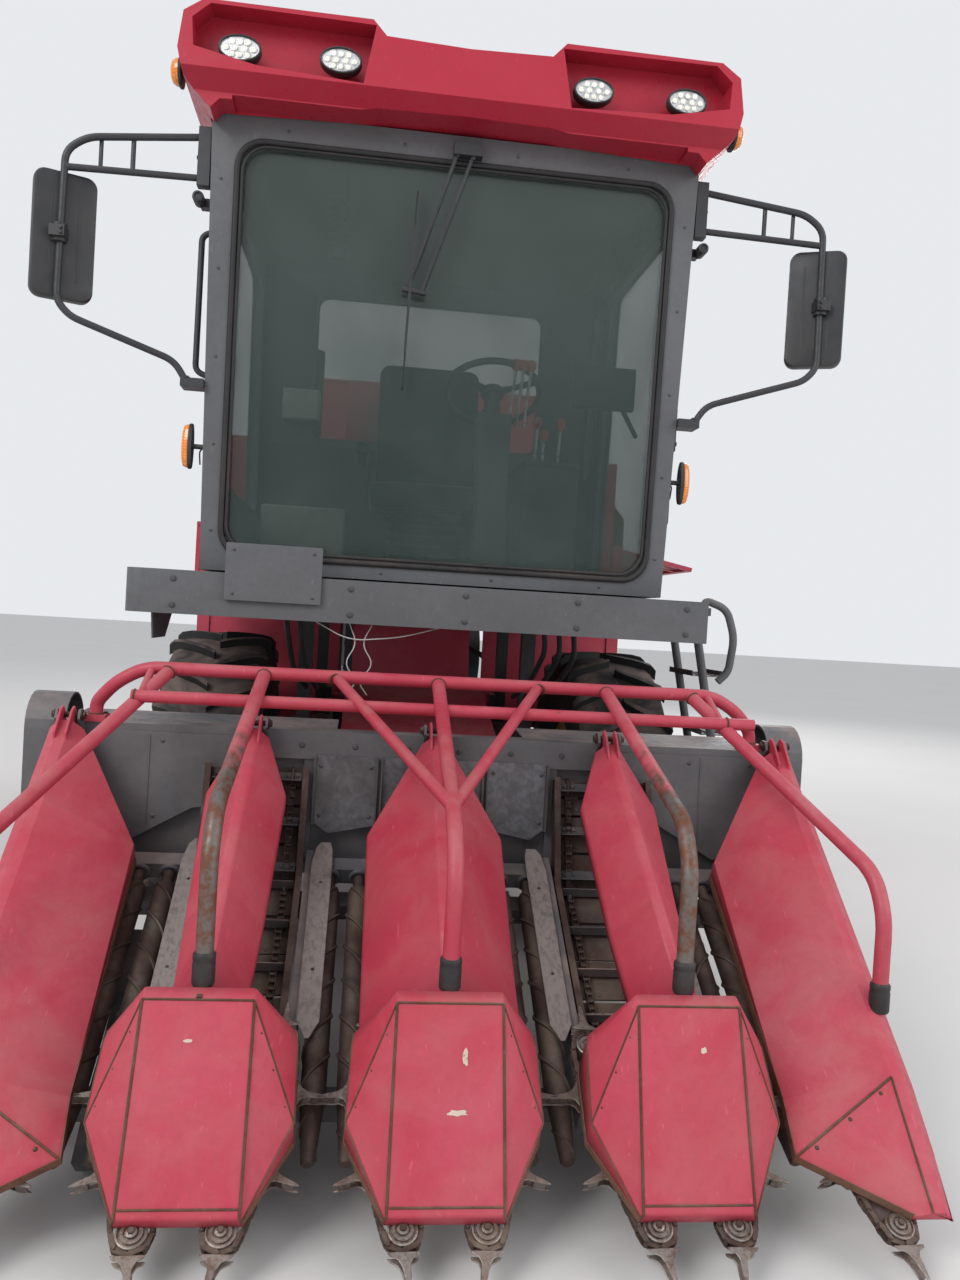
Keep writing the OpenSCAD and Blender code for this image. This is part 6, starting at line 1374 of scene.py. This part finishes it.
class HARVESTER_OT_interior(Operator):
    """Seat cushions, steering wheel, levers, monitor and mat inside the cab"""

    bl_idname = "harvester.interior"
    bl_label = "Cab interior"

    def execute(self, context):
        self.seat()
        self.console()
        trim = Shape()
        trim.prism(round_rect(-0.76, 0.76, -2.2, -0.94, 0.05, 4), MAT_LEVEL + 0.0005, MAT_LEVEL + 0.008)
        for k in range(24):
            trim.box(-0.7, 0.7, -2.16 + k * 0.05, -2.145 + k * 0.05, MAT_LEVEL + 0.008, MAT_LEVEL + 0.011)
        piece("cab_floor_mat", trim, "mat", "machine")
        lining = Shape()
        lining.box(-0.78, 0.78, -0.912, -0.906, MAT_LEVEL + 0.01, 2.24)
        lining.box(-0.72, 0.72, -2.24, -0.94, 3.066, 3.084)
        for x in (-0.4, 0.0, 0.4):
            lining.box(x - 0.004, x + 0.004, -0.9135, -0.911, MAT_LEVEL + 0.03, 2.22)
        piece("cab_lining", lining, "cab_trim", "machine", 35, 0.003)
        boxes = Shape()
        boxes.box(-0.74, -0.36, -1.3, -1.0, MAT_LEVEL + 0.011, MAT_LEVEL + 0.3)
        boxes.box(-0.7, -0.52, -0.985, -0.915, 2.35, 2.5)
        piece("cab_tool_box", boxes, "pale_plastic", "machine", 35, 0.012)
        self.pillar_things()
        return {"FINISHED"}

    def pillar_things(self):
        shape = Shape()
        shape.box(0.5, 0.74, -2.1, -2.06, 2.28, 2.44)
        shape.tube([(0.62, -2.06, 2.36), (0.72, -2.0, 2.3), (0.786, -1.98, 2.2)], 0.01, 10)
        coil = [(-0.42 + 0.03 * cos(k * 0.7), -2.16 + 0.03 * sin(k * 0.7), 2.95 - 0.0032 * k)
                for k in range(60)]
        shape.tube(coil, 0.003, 6)
        shape.tube([(-0.42 + 0.03, -2.16, 2.95), (-0.4, -2.16, 3.067)], 0.003, 6)
        shape.prism(ellipse(0.035, 0.055, 20, -0.42, -2.16), 2.72, 2.752)
        piece("cab_monitor", shape, "plastic", "machine", 40, 0.002)

    def seat(self):
        base = Shape()
        base.box(-0.18, 0.18, -1.56, -1.24, MAT_LEVEL, MAT_LEVEL + 0.03)
        for k in range(6):
            fold = []
            for z, g in ((0, 0.0), (0.02, 0.014), (0.04, 0.0)):
                outline = round_rect(-0.16 - g, 0.16 + g, -1.54 - g, -1.26 + g, 0.04, 4)
                fold.append([(x, y, MAT_LEVEL + 0.03 + k * 0.04 + z) for x, y in outline])
            base.skin(fold)
        base.box(-0.2, 0.2, -1.58, -1.22, MAT_LEVEL + 0.27, MAT_LEVEL + 0.285)
        for s in (-1, 1):
            base.box(s * 0.265 - 0.005, s * 0.265 + 0.005, -1.26, -1.2, MAT_LEVEL + 0.335, MAT_LEVEL + 0.517)
        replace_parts(piece("cab_seat_base", base, "plastic", "machine", 45), "cab_seat")
        cushion("cab_seat_cushion", -0.26, 0.26, -1.64, -1.14, 1.895, 2.005, 0.05, 0.012)
        lean = shift(0, -1.125, 2.02) @ turned(radians(80), "X")
        cushion("cab_seat_back", -0.24, 0.24, 0.0, 0.62, -0.045, 0.05, 0.05, 0.012, lean)
        for s in (-1, 1):
            cushion(f"cab_armrest_{'left' if s > 0 else 'right'}", s * 0.3 - 0.03, s * 0.3 + 0.03, -1.56,
                    -1.18, 2.12, 2.175, 0.024, 0.004)

    def console(self):
        body, wheel, levers, knobs = Shape(), Shape(), Shape(), Shape()
        body.skin([[(x0, y0, MAT_LEVEL + z0), (x1, y0, MAT_LEVEL + z0), (x1, y1, MAT_LEVEL + z1),
                    (x0, y1, MAT_LEVEL + z1)] for x0, x1, y0, y1, z0, z1 in (
            (0.14, 0.28, -2.12, -1.94, 0.0, 0.0), (0.155, 0.265, -2.09, -1.94, 0.3, 0.3),
            (0.14, 0.28, -2.01, -1.9, 0.645, 0.595))])
        body.tube([(0.21, -1.96, 2.2), (0.21, -1.88, 2.35)], [0.04, 0.024], 18)
        body.box(0.38, 0.62, -1.7, -1.18, MAT_LEVEL, 2.12)
        body.prism(round_rect(0.375, 0.625, -1.705, -1.175, 0.02, 4), 2.1, 2.125)
        m = shift(0.21, -1.88, 2.35) @ turned(radians(-28), "X")
        wheel.torus(0.19, 0.0135, 48, 14, m)
        wheel.lathe([(0.045, -0.012), (0.05, 0.0), (0.046, 0.012), (0.03, 0.018), (0.004, 0.02)], 28, m)
        for a in (97, 213, 331):
            t = m @ turned(radians(a), "Z")
            wheel.skin([[(x, -w, -0.006), (x, w, -0.006), (x, w, 0.005), (x, -w, 0.005)]
                        for x, w in ((0.03, 0.018), (0.1, 0.011), (0.185, 0.014))], matrix=t)
        for x, y, top, back in ((0.44, -1.6, 2.28, -0.04), (0.54, -1.6, 2.28, -0.04),
                                (0.49, -1.5, 2.25, -0.02)):
            levers.tube([(x, y, 2.1), (x, y + back, top)], 0.007, 12)
            levers.lathe([(0.022, 0.0), (0.018, 0.012), (0.008, 0.02)], 18, shift(x, y, 2.122))
            knobs.lathe([(0.01, -0.01), (0.019, 0.004), (0.022, 0.022), (0.016, 0.038), (0.004, 0.042)], 20,
                        shift(x, y + back, top))
        for x in (0.27, 0.3, 0.33):
            levers.tube([(x, -1.98, 2.2), (x + 0.01, -2.03, 2.42)], 0.006, 12)
            knobs.lathe([(0.01, -0.008), (0.019, 0.004), (0.021, 0.02), (0.014, 0.034), (0.004, 0.037)], 20,
                        shift(x + 0.01, -2.03, 2.42))
        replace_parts(piece("cab_console", body, "cab_trim", "machine", 35, 0.006), "steering_console")
        piece("steering_wheel", wheel, "plastic", "machine", 45)
        piece("cab_levers", levers, "chrome_rod", "machine", 45)
        piece("cab_lever_knobs", knobs, "knob", "machine", 50)


class HARVESTER_OT_platform(Operator):
    """Plate, bolts, tread sheet, wires and hoses of the platform, and the ladder's treads"""

    bl_idname = "harvester.platform"
    bl_label = "Platform fittings"

    def execute(self, context):
        plate, bolts, wires, hoses, tread = Shape(), Shape(), Shape(), Shape(), Shape()
        plate.prism([(x, z) for x, z in round_rect(-0.728, -0.402, 1.457, 1.653, 0.006, 3)], 0.0, 0.0035,
                    place((0, -2.4222, 0), (1, 0, 0), (0, -1, 0)))
        for x in (-0.7, -0.43):
            for z in (1.48, 1.63):
                dome(bolts, (x, -2.426, z), (0, -1, 0), 0.006, 0.003)
        for x in (-0.9, -0.3, 0.1, 0.5, 0.9):
            for z in (1.43, 1.52):
                bolt(bolts, (x, -2.4101, z), (0, -1, 0), 0.008)
        for x0, sway in ((-0.3, 0.03), (-0.22, -0.035)):
            path = [(x0, -2.36, 1.4), (x0 + sway, -2.37, 1.33), (x0 - sway * 0.4, -2.38, 1.26),
                    (x0 + sway * 1.2, -2.37, 1.2), (x0 + sway * 0.2, -2.34, 1.15)]
            wires.tube(rounded(path, 0.05, 6), 0.0022, 6)
        wires.tube(rounded([(-0.42, -2.36, 1.402), (-0.3, -2.38, 1.34), (-0.12, -2.37, 1.36),
                            (0.02, -2.36, 1.402)], 0.06, 6), 0.0022, 6)
        for k, x in enumerate((-0.55, -0.5, 0.46, 0.52, 0.58)):
            hoses.tube(rounded([(x, -1.98, 1.42), (x + 0.01, -1.99, 1.35 - 0.01 * k), (x * 0.94, -1.9, 1.2),
                                (x * 0.86, -1.7, 1.12)], 0.08, 6), 0.011, 10)
        for y in (-2.35, -0.9):
            tread.box(-0.99, 0.97, y, y + 0.012, 1.5452, 1.549)
        for i in range(26):
            for j in range(2):
                x, y = -0.98 + 0.076 * i, -2.385 if j else -2.36
                m = shift(x, y, 1.5455) @ turned(radians(45 if (i + j) % 2 else -45), "Z")
                tread.prism(ellipse(0.014, 0.004, 10), 0, 0.002, m)
        piece("platform_plate", plate, "charcoal", "machine", 30, 0.001)
        piece("platform_bolts", bolts, "chassis", "machine")
        piece("platform_wires", wires, "pale_plastic", "machine", 50)
        piece("platform_hoses", hoses, "seal", "machine", 50)
        piece("platform_tread", tread, "charcoal", "machine")
        self.ladder()
        return {"FINISHED"}

    def ladder(self):
        bars, steps = Shape(), Shape()
        x0, x1 = 1.0, 1.2
        for y in (-2.03, -1.72):
            bars.tube(rounded([(x0 + 0.03, y, 1.525), (x0 + 0.06, y, 1.485), (x1 + 0.06, y, 0.52)],
                              0.03), 0.017, 14)
        bars.tube(rounded([(x0 + 0.04, -2.19, 1.515), (x0 + 0.04, -2.19, 1.565), (x0 + 0.13, -2.19, 1.535),
                           (x0 + 0.165, -2.19, 1.425), (x0 + 0.15, -2.19, 1.295), (x0 + 0.11, -2.19, 1.255)],
                          0.04, 6), 0.015, 14)
        for k in range(4):
            a, z = x0 + 0.062 + 0.052 * k, 0.56 + 0.235 * (3 - k)
            steps.box(a, a + 0.15, -2.026, -1.724, z, z + 0.003)
            steps.box(a, a + 0.003, -2.026, -1.724, z, z + 0.022)
            steps.box(a + 0.147, a + 0.15, -2.026, -1.724, z, z + 0.022)
            for i in range(5):
                for j in range(2):
                    ring_bead(steps, (a + 0.045 + 0.06 * j, -1.985 + 0.055 * i, z + 0.004), (0, 0, 1),
                              0.014, 0.003, 12, 6)
        steps.box(0.98, x0 + 0.06, -2.21, -1.7, 1.505, 1.535)
        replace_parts(piece("ladder_bars", bars, "charcoal", "machine", 45), "ladder")
        piece("ladder_steps", steps, "chassis", "machine")


class HARVESTER_OT_header_back(Operator):
    """Zinc plates, posts, sheets and bolts on the header's back wall"""

    bl_idname = "harvester.header_back"
    bl_label = "Header back"

    def execute(self, context):
        zinc, posts, bolts, dark = Shape(), Shape(), Shape(), Shape()
        for s in (-1, 1):
            self.plate(zinc, s, ((0.02, 0.975), (0.375, 0.975), (0.375, 0.755), (0.33, 0.722), (0.19, 0.75),
                                 (0.02, 0.735)), 0.0025)
            self.plate(posts, s, ((0.375, 0.97), (0.375, 0.755), (0.384, 0.755), (0.384, 0.97)), 0.02)
            for x in (0.165, 0.18):
                posts.box(s * x - 0.003, s * x + 0.003, -2.674, -2.6565, 0.735, 0.972)
            posts.box(s * 0.172 - 0.01, s * 0.172 + 0.01, -2.66, -2.6565, 0.735, 0.972)
            for x in (0.2, 0.36):
                for z in (0.78, 0.94):
                    dome(bolts, (s * x, -2.6565, z), (0, -1, 0), 0.007, 0.004)
            self.plate(dark, s, ((0.605, 1.026), (1.105, 1.026), (1.105, 0.735), (0.96, 0.675), (0.76, 0.79),
                                 (0.605, 0.81)), 0.003)
            dark.box(s * 0.9 - 0.002, s * 0.9 + 0.002, -2.66, -2.6565, 0.73, 1.02)
            for x, z in ((0.64, 1.0), (0.86, 1.0), (1.07, 1.0), (0.64, 0.83), (0.88, 0.76)):
                dome(bolts, (s * x, -2.657, z), (0, -1, 0), 0.007, 0.004)
        for k in range(14):
            bolt(bolts, (k * 0.17 - 1.105, -2.6502, 1.005), (0, -1, 0), 0.007)
        piece("header_zinc_plates", zinc, "zinc", "header", 30, 0.0006)
        piece("header_posts", posts, "chassis", "header", 30, 0.001)
        piece("header_sheets", dark, "charcoal", "header", 30, 0.0008)
        piece("header_bolts", bolts, "chassis", "header")
        return {"FINISHED"}

    def plate(self, shape, s, corners, thick):
        """A flat plate on the wall's left (s = 1) or right half, from its corners' x and z on the left."""
        outline = [(s * x, z) for x, z in corners]
        shape.prism(outline if s < 0 else outline[::-1], 0, thick,
                    place((0, -2.654, 0), (1, 0, 0), (0, -1, 0)))


class HARVESTER_OT_wheels(Operator):
    """Tractor-tread and ribbed tyres, bolted rims and hubs"""

    bl_idname = "harvester.wheels"
    bl_label = "Wheels"

    # Outer diameter, width and rim diameter of the drive and the steered tyres, and the drive tyre's bars
    DRIVE, STEERED, BARS = (1.32, 0.42, 0.64), (0.86, 0.28, 0.394), 20

    def execute(self, context):
        for side, s in (("left", 1), ("right", -1)):
            m = place((s * 0.86, -1.29, 0.66), (0, 0, 1), (s, 0, 0))
            tyre = self.carcass(*self.DRIVE, 0.03)
            self.bars(tyre, self.DRIVE[0] / 2, self.DRIVE[1], self.BARS)
            self.blocks(tyre, 0.48, 0.2065)
            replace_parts(piece(f"drive_tyre_{side}", Shape().shape(tyre, m), "tyre", f"front_wheel_{side}",
                              32), f"front_tyre_{side}")
            self.rim(f"drive_rim_{side}", f"front_rim_{side}", f"front_wheel_{side}", m, 0.306, 0.3186,
                     -0.06, 0.095, 8)
            m = place((s * 0.88, 1.9, 0.43), (0, 0, 1), (s, 0, 0))
            tyre = self.carcass(*self.STEERED, 0.0, True)
            self.blocks(tyre, 0.31, 0.1375)
            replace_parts(piece(f"steer_tyre_{side}", Shape().shape(tyre, m), "tyre", f"rear_wheel_{side}", 32),
                        f"rear_tyre_{side}")
            self.rim(f"steer_rim_{side}", f"rear_rim_{side}", f"rear_wheel_{side}", m, 0.183, 0.2206,
                     -0.03, 0.07, 6)
        return {"FINISHED"}

    def carcass(self, d, w, rim_d, drop, grooves=False):
        """A tyre without its bars: rim bead, sidewall with its rings, shoulder and tread."""
        r, b, h = d / 2, rim_d / 2, w / 2
        t = r - drop
        wall = ((0.2, 0.9), (0.3, 0.955), (0.31, 0.966), (0.34, 0.966), (0.35, 0.972), (0.55, 0.995),
                (0.68, 0.98), (0.7, 0.988), (0.73, 0.985), (0.75, 0.965))
        half = [(b + 0.004, h * 0.66), (b + 0.012, h * 0.73), (b + 0.02, h * 0.73), (b + 0.026, h * 0.76),
                *[(b + up * (r - b), h * out) for up, out in wall], (t - 0.022, h * 0.9),
                (t - 0.006, h * 0.78)]
        if grooves:
            g = []
            for z in (0.062, 0.0):
                g += [(t - 0.001, z + 0.013), (t - 0.003, z + 0.01), (t - 0.018, z + 0.006),
                      (t - 0.018, z - 0.006), (t - 0.003, z - 0.01), (t - 0.001, z - 0.013)]
            middle = [(t - 0.001, 0.1), *g, *[(q, -z) for q, z in g[5::-1]], (t - 0.001, -0.1)]
        else:
            middle = [(t - 0.001, h * 0.4), (t, 0.0), (t - 0.001, -h * 0.4)]
        return Shape().lathe([*half, *middle, *[(q, -z) for q, z in half[::-1]], (b + 0.03, 0.0)], 72)

    def bars(self, tyre, r, w, count):
        """Chevron tread bars that curve from the middle to the shoulder."""
        for k in range(count):
            for s in (-1, 1):
                turn = turned(tau * (k + (0.5 if s > 0 else 0)) / count, "Z")
                rings = []
                for t, angle, top, width in ((0.0, -0.02, 0.0, 0.024), (0.2, 0.03, 0.0, 0.026),
                                             (0.45, 0.075, -0.001, 0.027), (0.7, 0.12, -0.004, 0.028),
                                             (0.88, 0.145, -0.012, 0.029), (0.97, 0.16, -0.03, 0.03)):
                    z = s * (0.004 + t * w * 0.505)
                    low = r - 0.05 - (0.012 if t > 0.85 else 0.0) - (0.012 if t > 0.95 else 0.0)
                    pts = []
                    for da, q in ((-width * 0.62, low), (-width * 0.42, r + top), (width * 0.42, r + top),
                                  (width * 0.62, low)):
                        a = angle + da / r * 1.25
                        pts.append((q * cos(a), q * sin(a), z))
                    rings.append(pts if s > 0 else pts[::-1])
                tyre.skin(rings, matrix=turn)

    def blocks(self, tyre, radius, z):
        """Plain raised blocks round the sidewall."""
        for s in (-1, 1):
            for k in range(36):
                if k % 9 < 4:
                    a = tau * k / 36
                    m = turned(a, "Z") @ shift(radius, 0, s * z)
                    tyre.box(-0.014, 0.014, -0.014, 0.01, -0.0012, 0.0012, m)

    def rim(self, name, node, body, m, r, w, dish, hub, holes):
        """A wheel's rim with its disc, and the bolts and hub cap on it."""
        rim, bolts = Shape(), Shape()
        rim.lathe([(r + 0.014, -w / 2), (r + 0.016, -w / 2 + 0.006), (r + 0.013, -w / 2 + 0.012),
                   (r - 0.006, -w / 2 + 0.016), (r - 0.012, -w / 2 + 0.03), (r - 0.024, -w / 4),
                   (r - 0.024, w / 4), (r - 0.012, w / 2 - 0.03), (r - 0.006, w / 2 - 0.016),
                   (r + 0.013, w / 2 - 0.012), (r + 0.016, w / 2 - 0.006), (r + 0.014, w / 2),
                   (r + 0.008, w / 2), (r - 0.004, w / 2 - 0.006), (r - 0.014, w / 2 - 0.008),
                   (r - 0.034, w / 4 + 0.006), (r - 0.034, dish + 0.012), (r - 0.05, dish + 0.018),
                   (r * 0.66, dish + 0.044), (r * 0.58, dish + 0.042), (r * 0.42, dish + 0.012),
                   (r * 0.4, dish + 0.01), (0.002, dish + 0.01), (0.002, dish - 0.004),
                   (r * 0.42, dish - 0.004), (r * 0.64, dish + 0.03), (r - 0.034, dish - 0.006),
                   (r - 0.034, -w / 4 - 0.006), (r - 0.014, -w / 2 + 0.004)], 64)
        for k in range(holes):
            a = tau * k / holes
            at = (r * 0.3 * cos(a), r * 0.3 * sin(a), dish + 0.0105)
            bolt(bolts, at, (0, 0, 1), 0.013, 0.014)
            bolts.lathe([(0.005, 0.01), (0.005, 0.024)], 10, shift(*at))
        for k in range(5):
            a = tau * (k + 0.5) / 5
            ring_bead(rim, (r * 0.76 * cos(a), r * 0.76 * sin(a), dish + 0.033), (0, 0, 1),
                      0.022, 0.004, 18, 6)
        end = dish - 0.004 + 0.06 if hub > 0.08 else dish + 0.002 + 0.07
        bolts.lathe([(hub * 0.62, dish), (hub * 0.62, end - 0.012), (hub * 0.52, end),
                     (hub * 0.2, end + 0.002), (0.004, end + 0.002)], 32)
        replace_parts(piece(name, Shape().shape(rim, m), "rim_yellow", body, 35), node)
        piece(name + "_bolts", Shape().shape(bolts, m), "rim_yellow", body, 35)


class HARVESTER_OT_body(Operator):
    """Catches, rivets, louvres, tank mesh, engine ribs, pipes and radiator grille"""

    bl_idname = "harvester.body"
    bl_label = "Body fittings"

    def execute(self, context):
        self.tank()
        self.covers()
        self.engine()
        self.panels()
        return {"FINISHED"}

    def tank(self):
        """Wire mesh, rims and hinge ends of the ear tank."""
        mesh, rims, small = Shape(), Shape(), Shape()
        front, rear, top, wire = 1.4, 3.48, 3.08, 0.0022
        for k in range(4):
            y = front + 0.09 + k * (rear - front - 0.1) / 4
            for s in (-1, 1):
                x = s * 1.076
                for j in range(1, 16):
                    mesh.tube([(x, y + 0.025 * j, top - 0.56), (x, y + 0.025 * j, top - 0.12)], wire, 5)
                for j in range(1, 18):
                    z = top - 0.56 + 0.0245 * j
                    mesh.tube([(x + s * 0.0035, y, z), (x + s * 0.0035, y + 0.4, z)], wire, 5)
        for s in (-1, 1):
            rims.tube([(s * 1.08, front - 0.002, top), (s * 1.08, rear + 0.002, top)], 0.014, 12)
            rims.box(s * 1.084 - 0.008, s * 1.084 + 0.008, front, rear, 2.45, 2.48)
        for y in (front, rear):
            rims.tube([(-1.08, y, top), (1.08, y, top)], 0.014, 12)
            for x in (-0.7, -0.23, 0.23, 0.7):
                rims.box(x - 0.018, x + 0.018, y - 0.014 if y < 2 else y,
                         y if y < 2 else y + 0.014, 2.12, top)
        for y in (1.527, 3.343):
            m = place((1.09, y - 0.032, 1.73), (1, 0, 0), (0, -1, 0))
            small.lathe([(0.012, -0.002), (0.012, 0.006), (0.006, 0.008)], 16, m)
        piece("tank_mesh", mesh, "zinc", "tank", 50)
        piece("tank_rims", rims, "panel_red", "tank", 40, 0.002)
        piece("tank_hinge_ends", small, "chassis", "tank", 40)

    def covers(self):
        """Catches, handles and ribs; the left cover stands open at rest."""
        a = radians(79)
        hinge = Vector((1.107, 0, 1.842))
        m = Matrix.Translation(hinge) @ turned(-a, "Y") @ Matrix.Translation(-hinge)
        shape = Shape()
        for y in (-0.3, 0.9):
            shape.box(1.117, 1.128, y - 0.03, y + 0.03, 1.482, 1.512)
            shape.tube(rounded([(1.117, y - 0.06, 1.54), (1.15, y - 0.06, 1.54), (1.15, y + 0.06, 1.54),
                                (1.117, y + 0.06, 1.54)], 0.015), 0.005, 8)
        piece("left_cover_catches", Shape().shape(shape, m), "black_steel", "left_cover", 35, 0.002)
        piece("right_cover_catches", Shape().shape(shape, MIRROR), "black_steel", "right_cover", 35, 0.002)
        ribs = Shape()
        for y in (-0.45, 0.05, 0.55, 1.05):
            ribs.box(1.096, 1.1, y - 0.02, y + 0.02, 1.5, 1.8)
        piece("left_cover_ribs", Shape().shape(ribs, m), "panel_red", "left_cover", 35, 0.001)

    def engine(self):
        block, pipes, belts = Shape(), Shape(), Shape()
        for k in range(6):
            x = -0.25 + 0.1 * k
            block.box(x - 0.03, x + 0.03, 0.36, 1.05, 1.66, 1.675)
            pipes.tube(rounded([(x, 0.25, 1.5), (x, 0.2, 1.5), (x, 0.2, 1.62), (x, 0.36, 1.64)],
                               0.03), 0.008, 10)
        for z in (1.1, 1.25, 1.4):
            block.box(-0.365, 0.365, 0.244, 0.25, z - 0.012, z + 0.012)
            block.box(-0.365, 0.365, 1.15, 1.156, z - 0.012, z + 0.012)
        for r, h in ((0.206, 0.471), (0.14, 0.474), (0.09, 0.478)):
            belts.lathe([(r, 0.0), (r, 0.004), (r - 0.012, 0.004), (r - 0.012, 0.0)], 40,
                        place((h, 0.52, 1.2), (0, 0, 1), (1, 0, 0)))
        for k in range(5):
            y = -0.52 + 0.14 * k
            pipes.tube(rounded([(0.52, y, 0.97), (0.5, y, 1.2), (0.3, y * 0.6, 1.3), (0.1, y * 0.4, 1.25)],
                               0.08, 5), 0.01, 8)
        grille = Shape()
        for k in range(25):
            grille.box(-0.986, -0.98, 0.33 + 0.032 * k, 0.334 + 0.032 * k, 1.04, 1.7)
        for k in range(14):
            grille.box(-0.988, -0.9865, 0.32, 1.1, 1.06 + 0.046 * k, 1.064 + 0.046 * k)
        for k in range(8):
            t = shift(-0.858, 0.71, 1.37) @ turned(tau * k / 8, "X")
            grille.skin([[(0, 0.05, -0.02), (0.02, 0.05, 0.02), (0.022, 0.05, 0.02), (0.002, 0.05, -0.02)],
                         [(0, 0.27, -0.05), (0.03, 0.27, 0.05), (0.032, 0.27, 0.05), (0.002, 0.27, -0.05)]],
                        matrix=t)
        piece("engine_ribs", block, "engine_paint", "machine", 35, 0.003)
        piece("engine_pipes", pipes, "seal", "machine", 45)
        piece("engine_pulleys", belts, "rubbed_steel", "machine")
        piece("radiator_grille", grille, "plastic", "machine")

    def panels(self):
        small, red = Shape(), Shape()
        for s in (-1, 1):
            for k in range(10):
                y = -0.6 + 0.2 * k
                dome(small, (s * 1.0901, y, 1.852), (s, 0, 0), 0.006)
            for k in range(5):
                y = 0.12 + 0.09 * k
                red.skin([[(s * 1.083, y + 0.04, 1.085), (s * 1.083, y + 0.04, 1.335),
                           (s * 1.081, y + 0.04, 1.335), (s * 1.081, y + 0.04, 1.085)],
                          [(s * 1.1, y + 0.004, 1.085), (s * 1.1, y + 0.004, 1.335),
                           (s * 1.098, y + 0.002, 1.335), (s * 1.098, y + 0.002, 1.085)]])
            for z in (1.1, 1.4, 1.7, 2.0):
                for x in (0.4, 1.0):
                    dome(small, (s * x, -0.6901, z), (0, -1, 0), 0.006)
        cap = Shape().lathe([(0.045, 0.0), (0.047, 0.006), (0.047, 0.016), (0.042, 0.02), (0.004, 0.021)], 32,
                            shift(0.86, -0.42, 1.438))
        piece("body_rivets", small, "chassis", "machine")
        piece("body_louvres", red, "panel_red", "machine")
        piece("fuel_cap", cap, "plastic", "machine")


OPERATORS = (HARVESTER_OT_stage, HARVESTER_OT_finishes, HARVESTER_OT_guard_rail, HARVESTER_OT_snouts,
             HARVESTER_OT_chains, HARVESTER_OT_rolls, HARVESTER_OT_row_units, HARVESTER_OT_conveyors,
             HARVESTER_OT_header_back, HARVESTER_OT_roof, HARVESTER_OT_mirrors, HARVESTER_OT_cab,
             HARVESTER_OT_interior, HARVESTER_OT_platform, HARVESTER_OT_wheels, HARVESTER_OT_body)


class HARVESTER_PT_panel(Panel):
    """Lists the harvester's build steps"""

    bl_label = "Harvester"
    bl_idname = "HARVESTER_PT_panel"
    bl_space_type = "VIEW_3D"
    bl_region_type = "UI"
    bl_category = "Harvester"

    def draw(self, context):
        for step in OPERATORS:
            self.layout.operator(step.bl_idname)
        for group in (context.scene.harvester_colours, context.scene.harvester_sizes):
            column = self.layout.column()
            for name in group.__annotations__:
                column.prop(group, name)


CLASSES = (HARVESTER_PG_colours, HARVESTER_PG_sizes, *OPERATORS, HARVESTER_PT_panel)


def register():
    for cls in CLASSES:
        bpy.utils.register_class(cls)
    bpy.types.Scene.harvester_colours = PointerProperty(type=HARVESTER_PG_colours)
    bpy.types.Scene.harvester_sizes = PointerProperty(type=HARVESTER_PG_sizes)


def unregister():
    del bpy.types.Scene.harvester_sizes
    del bpy.types.Scene.harvester_colours
    for cls in reversed(CLASSES):
        bpy.utils.unregister_class(cls)


def main():
    """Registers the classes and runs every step."""
    register()
    for step in OPERATORS:
        group, name = step.bl_idname.split(".")
        getattr(getattr(bpy.ops, group), name)()


if __name__ == "__main__":
    main()
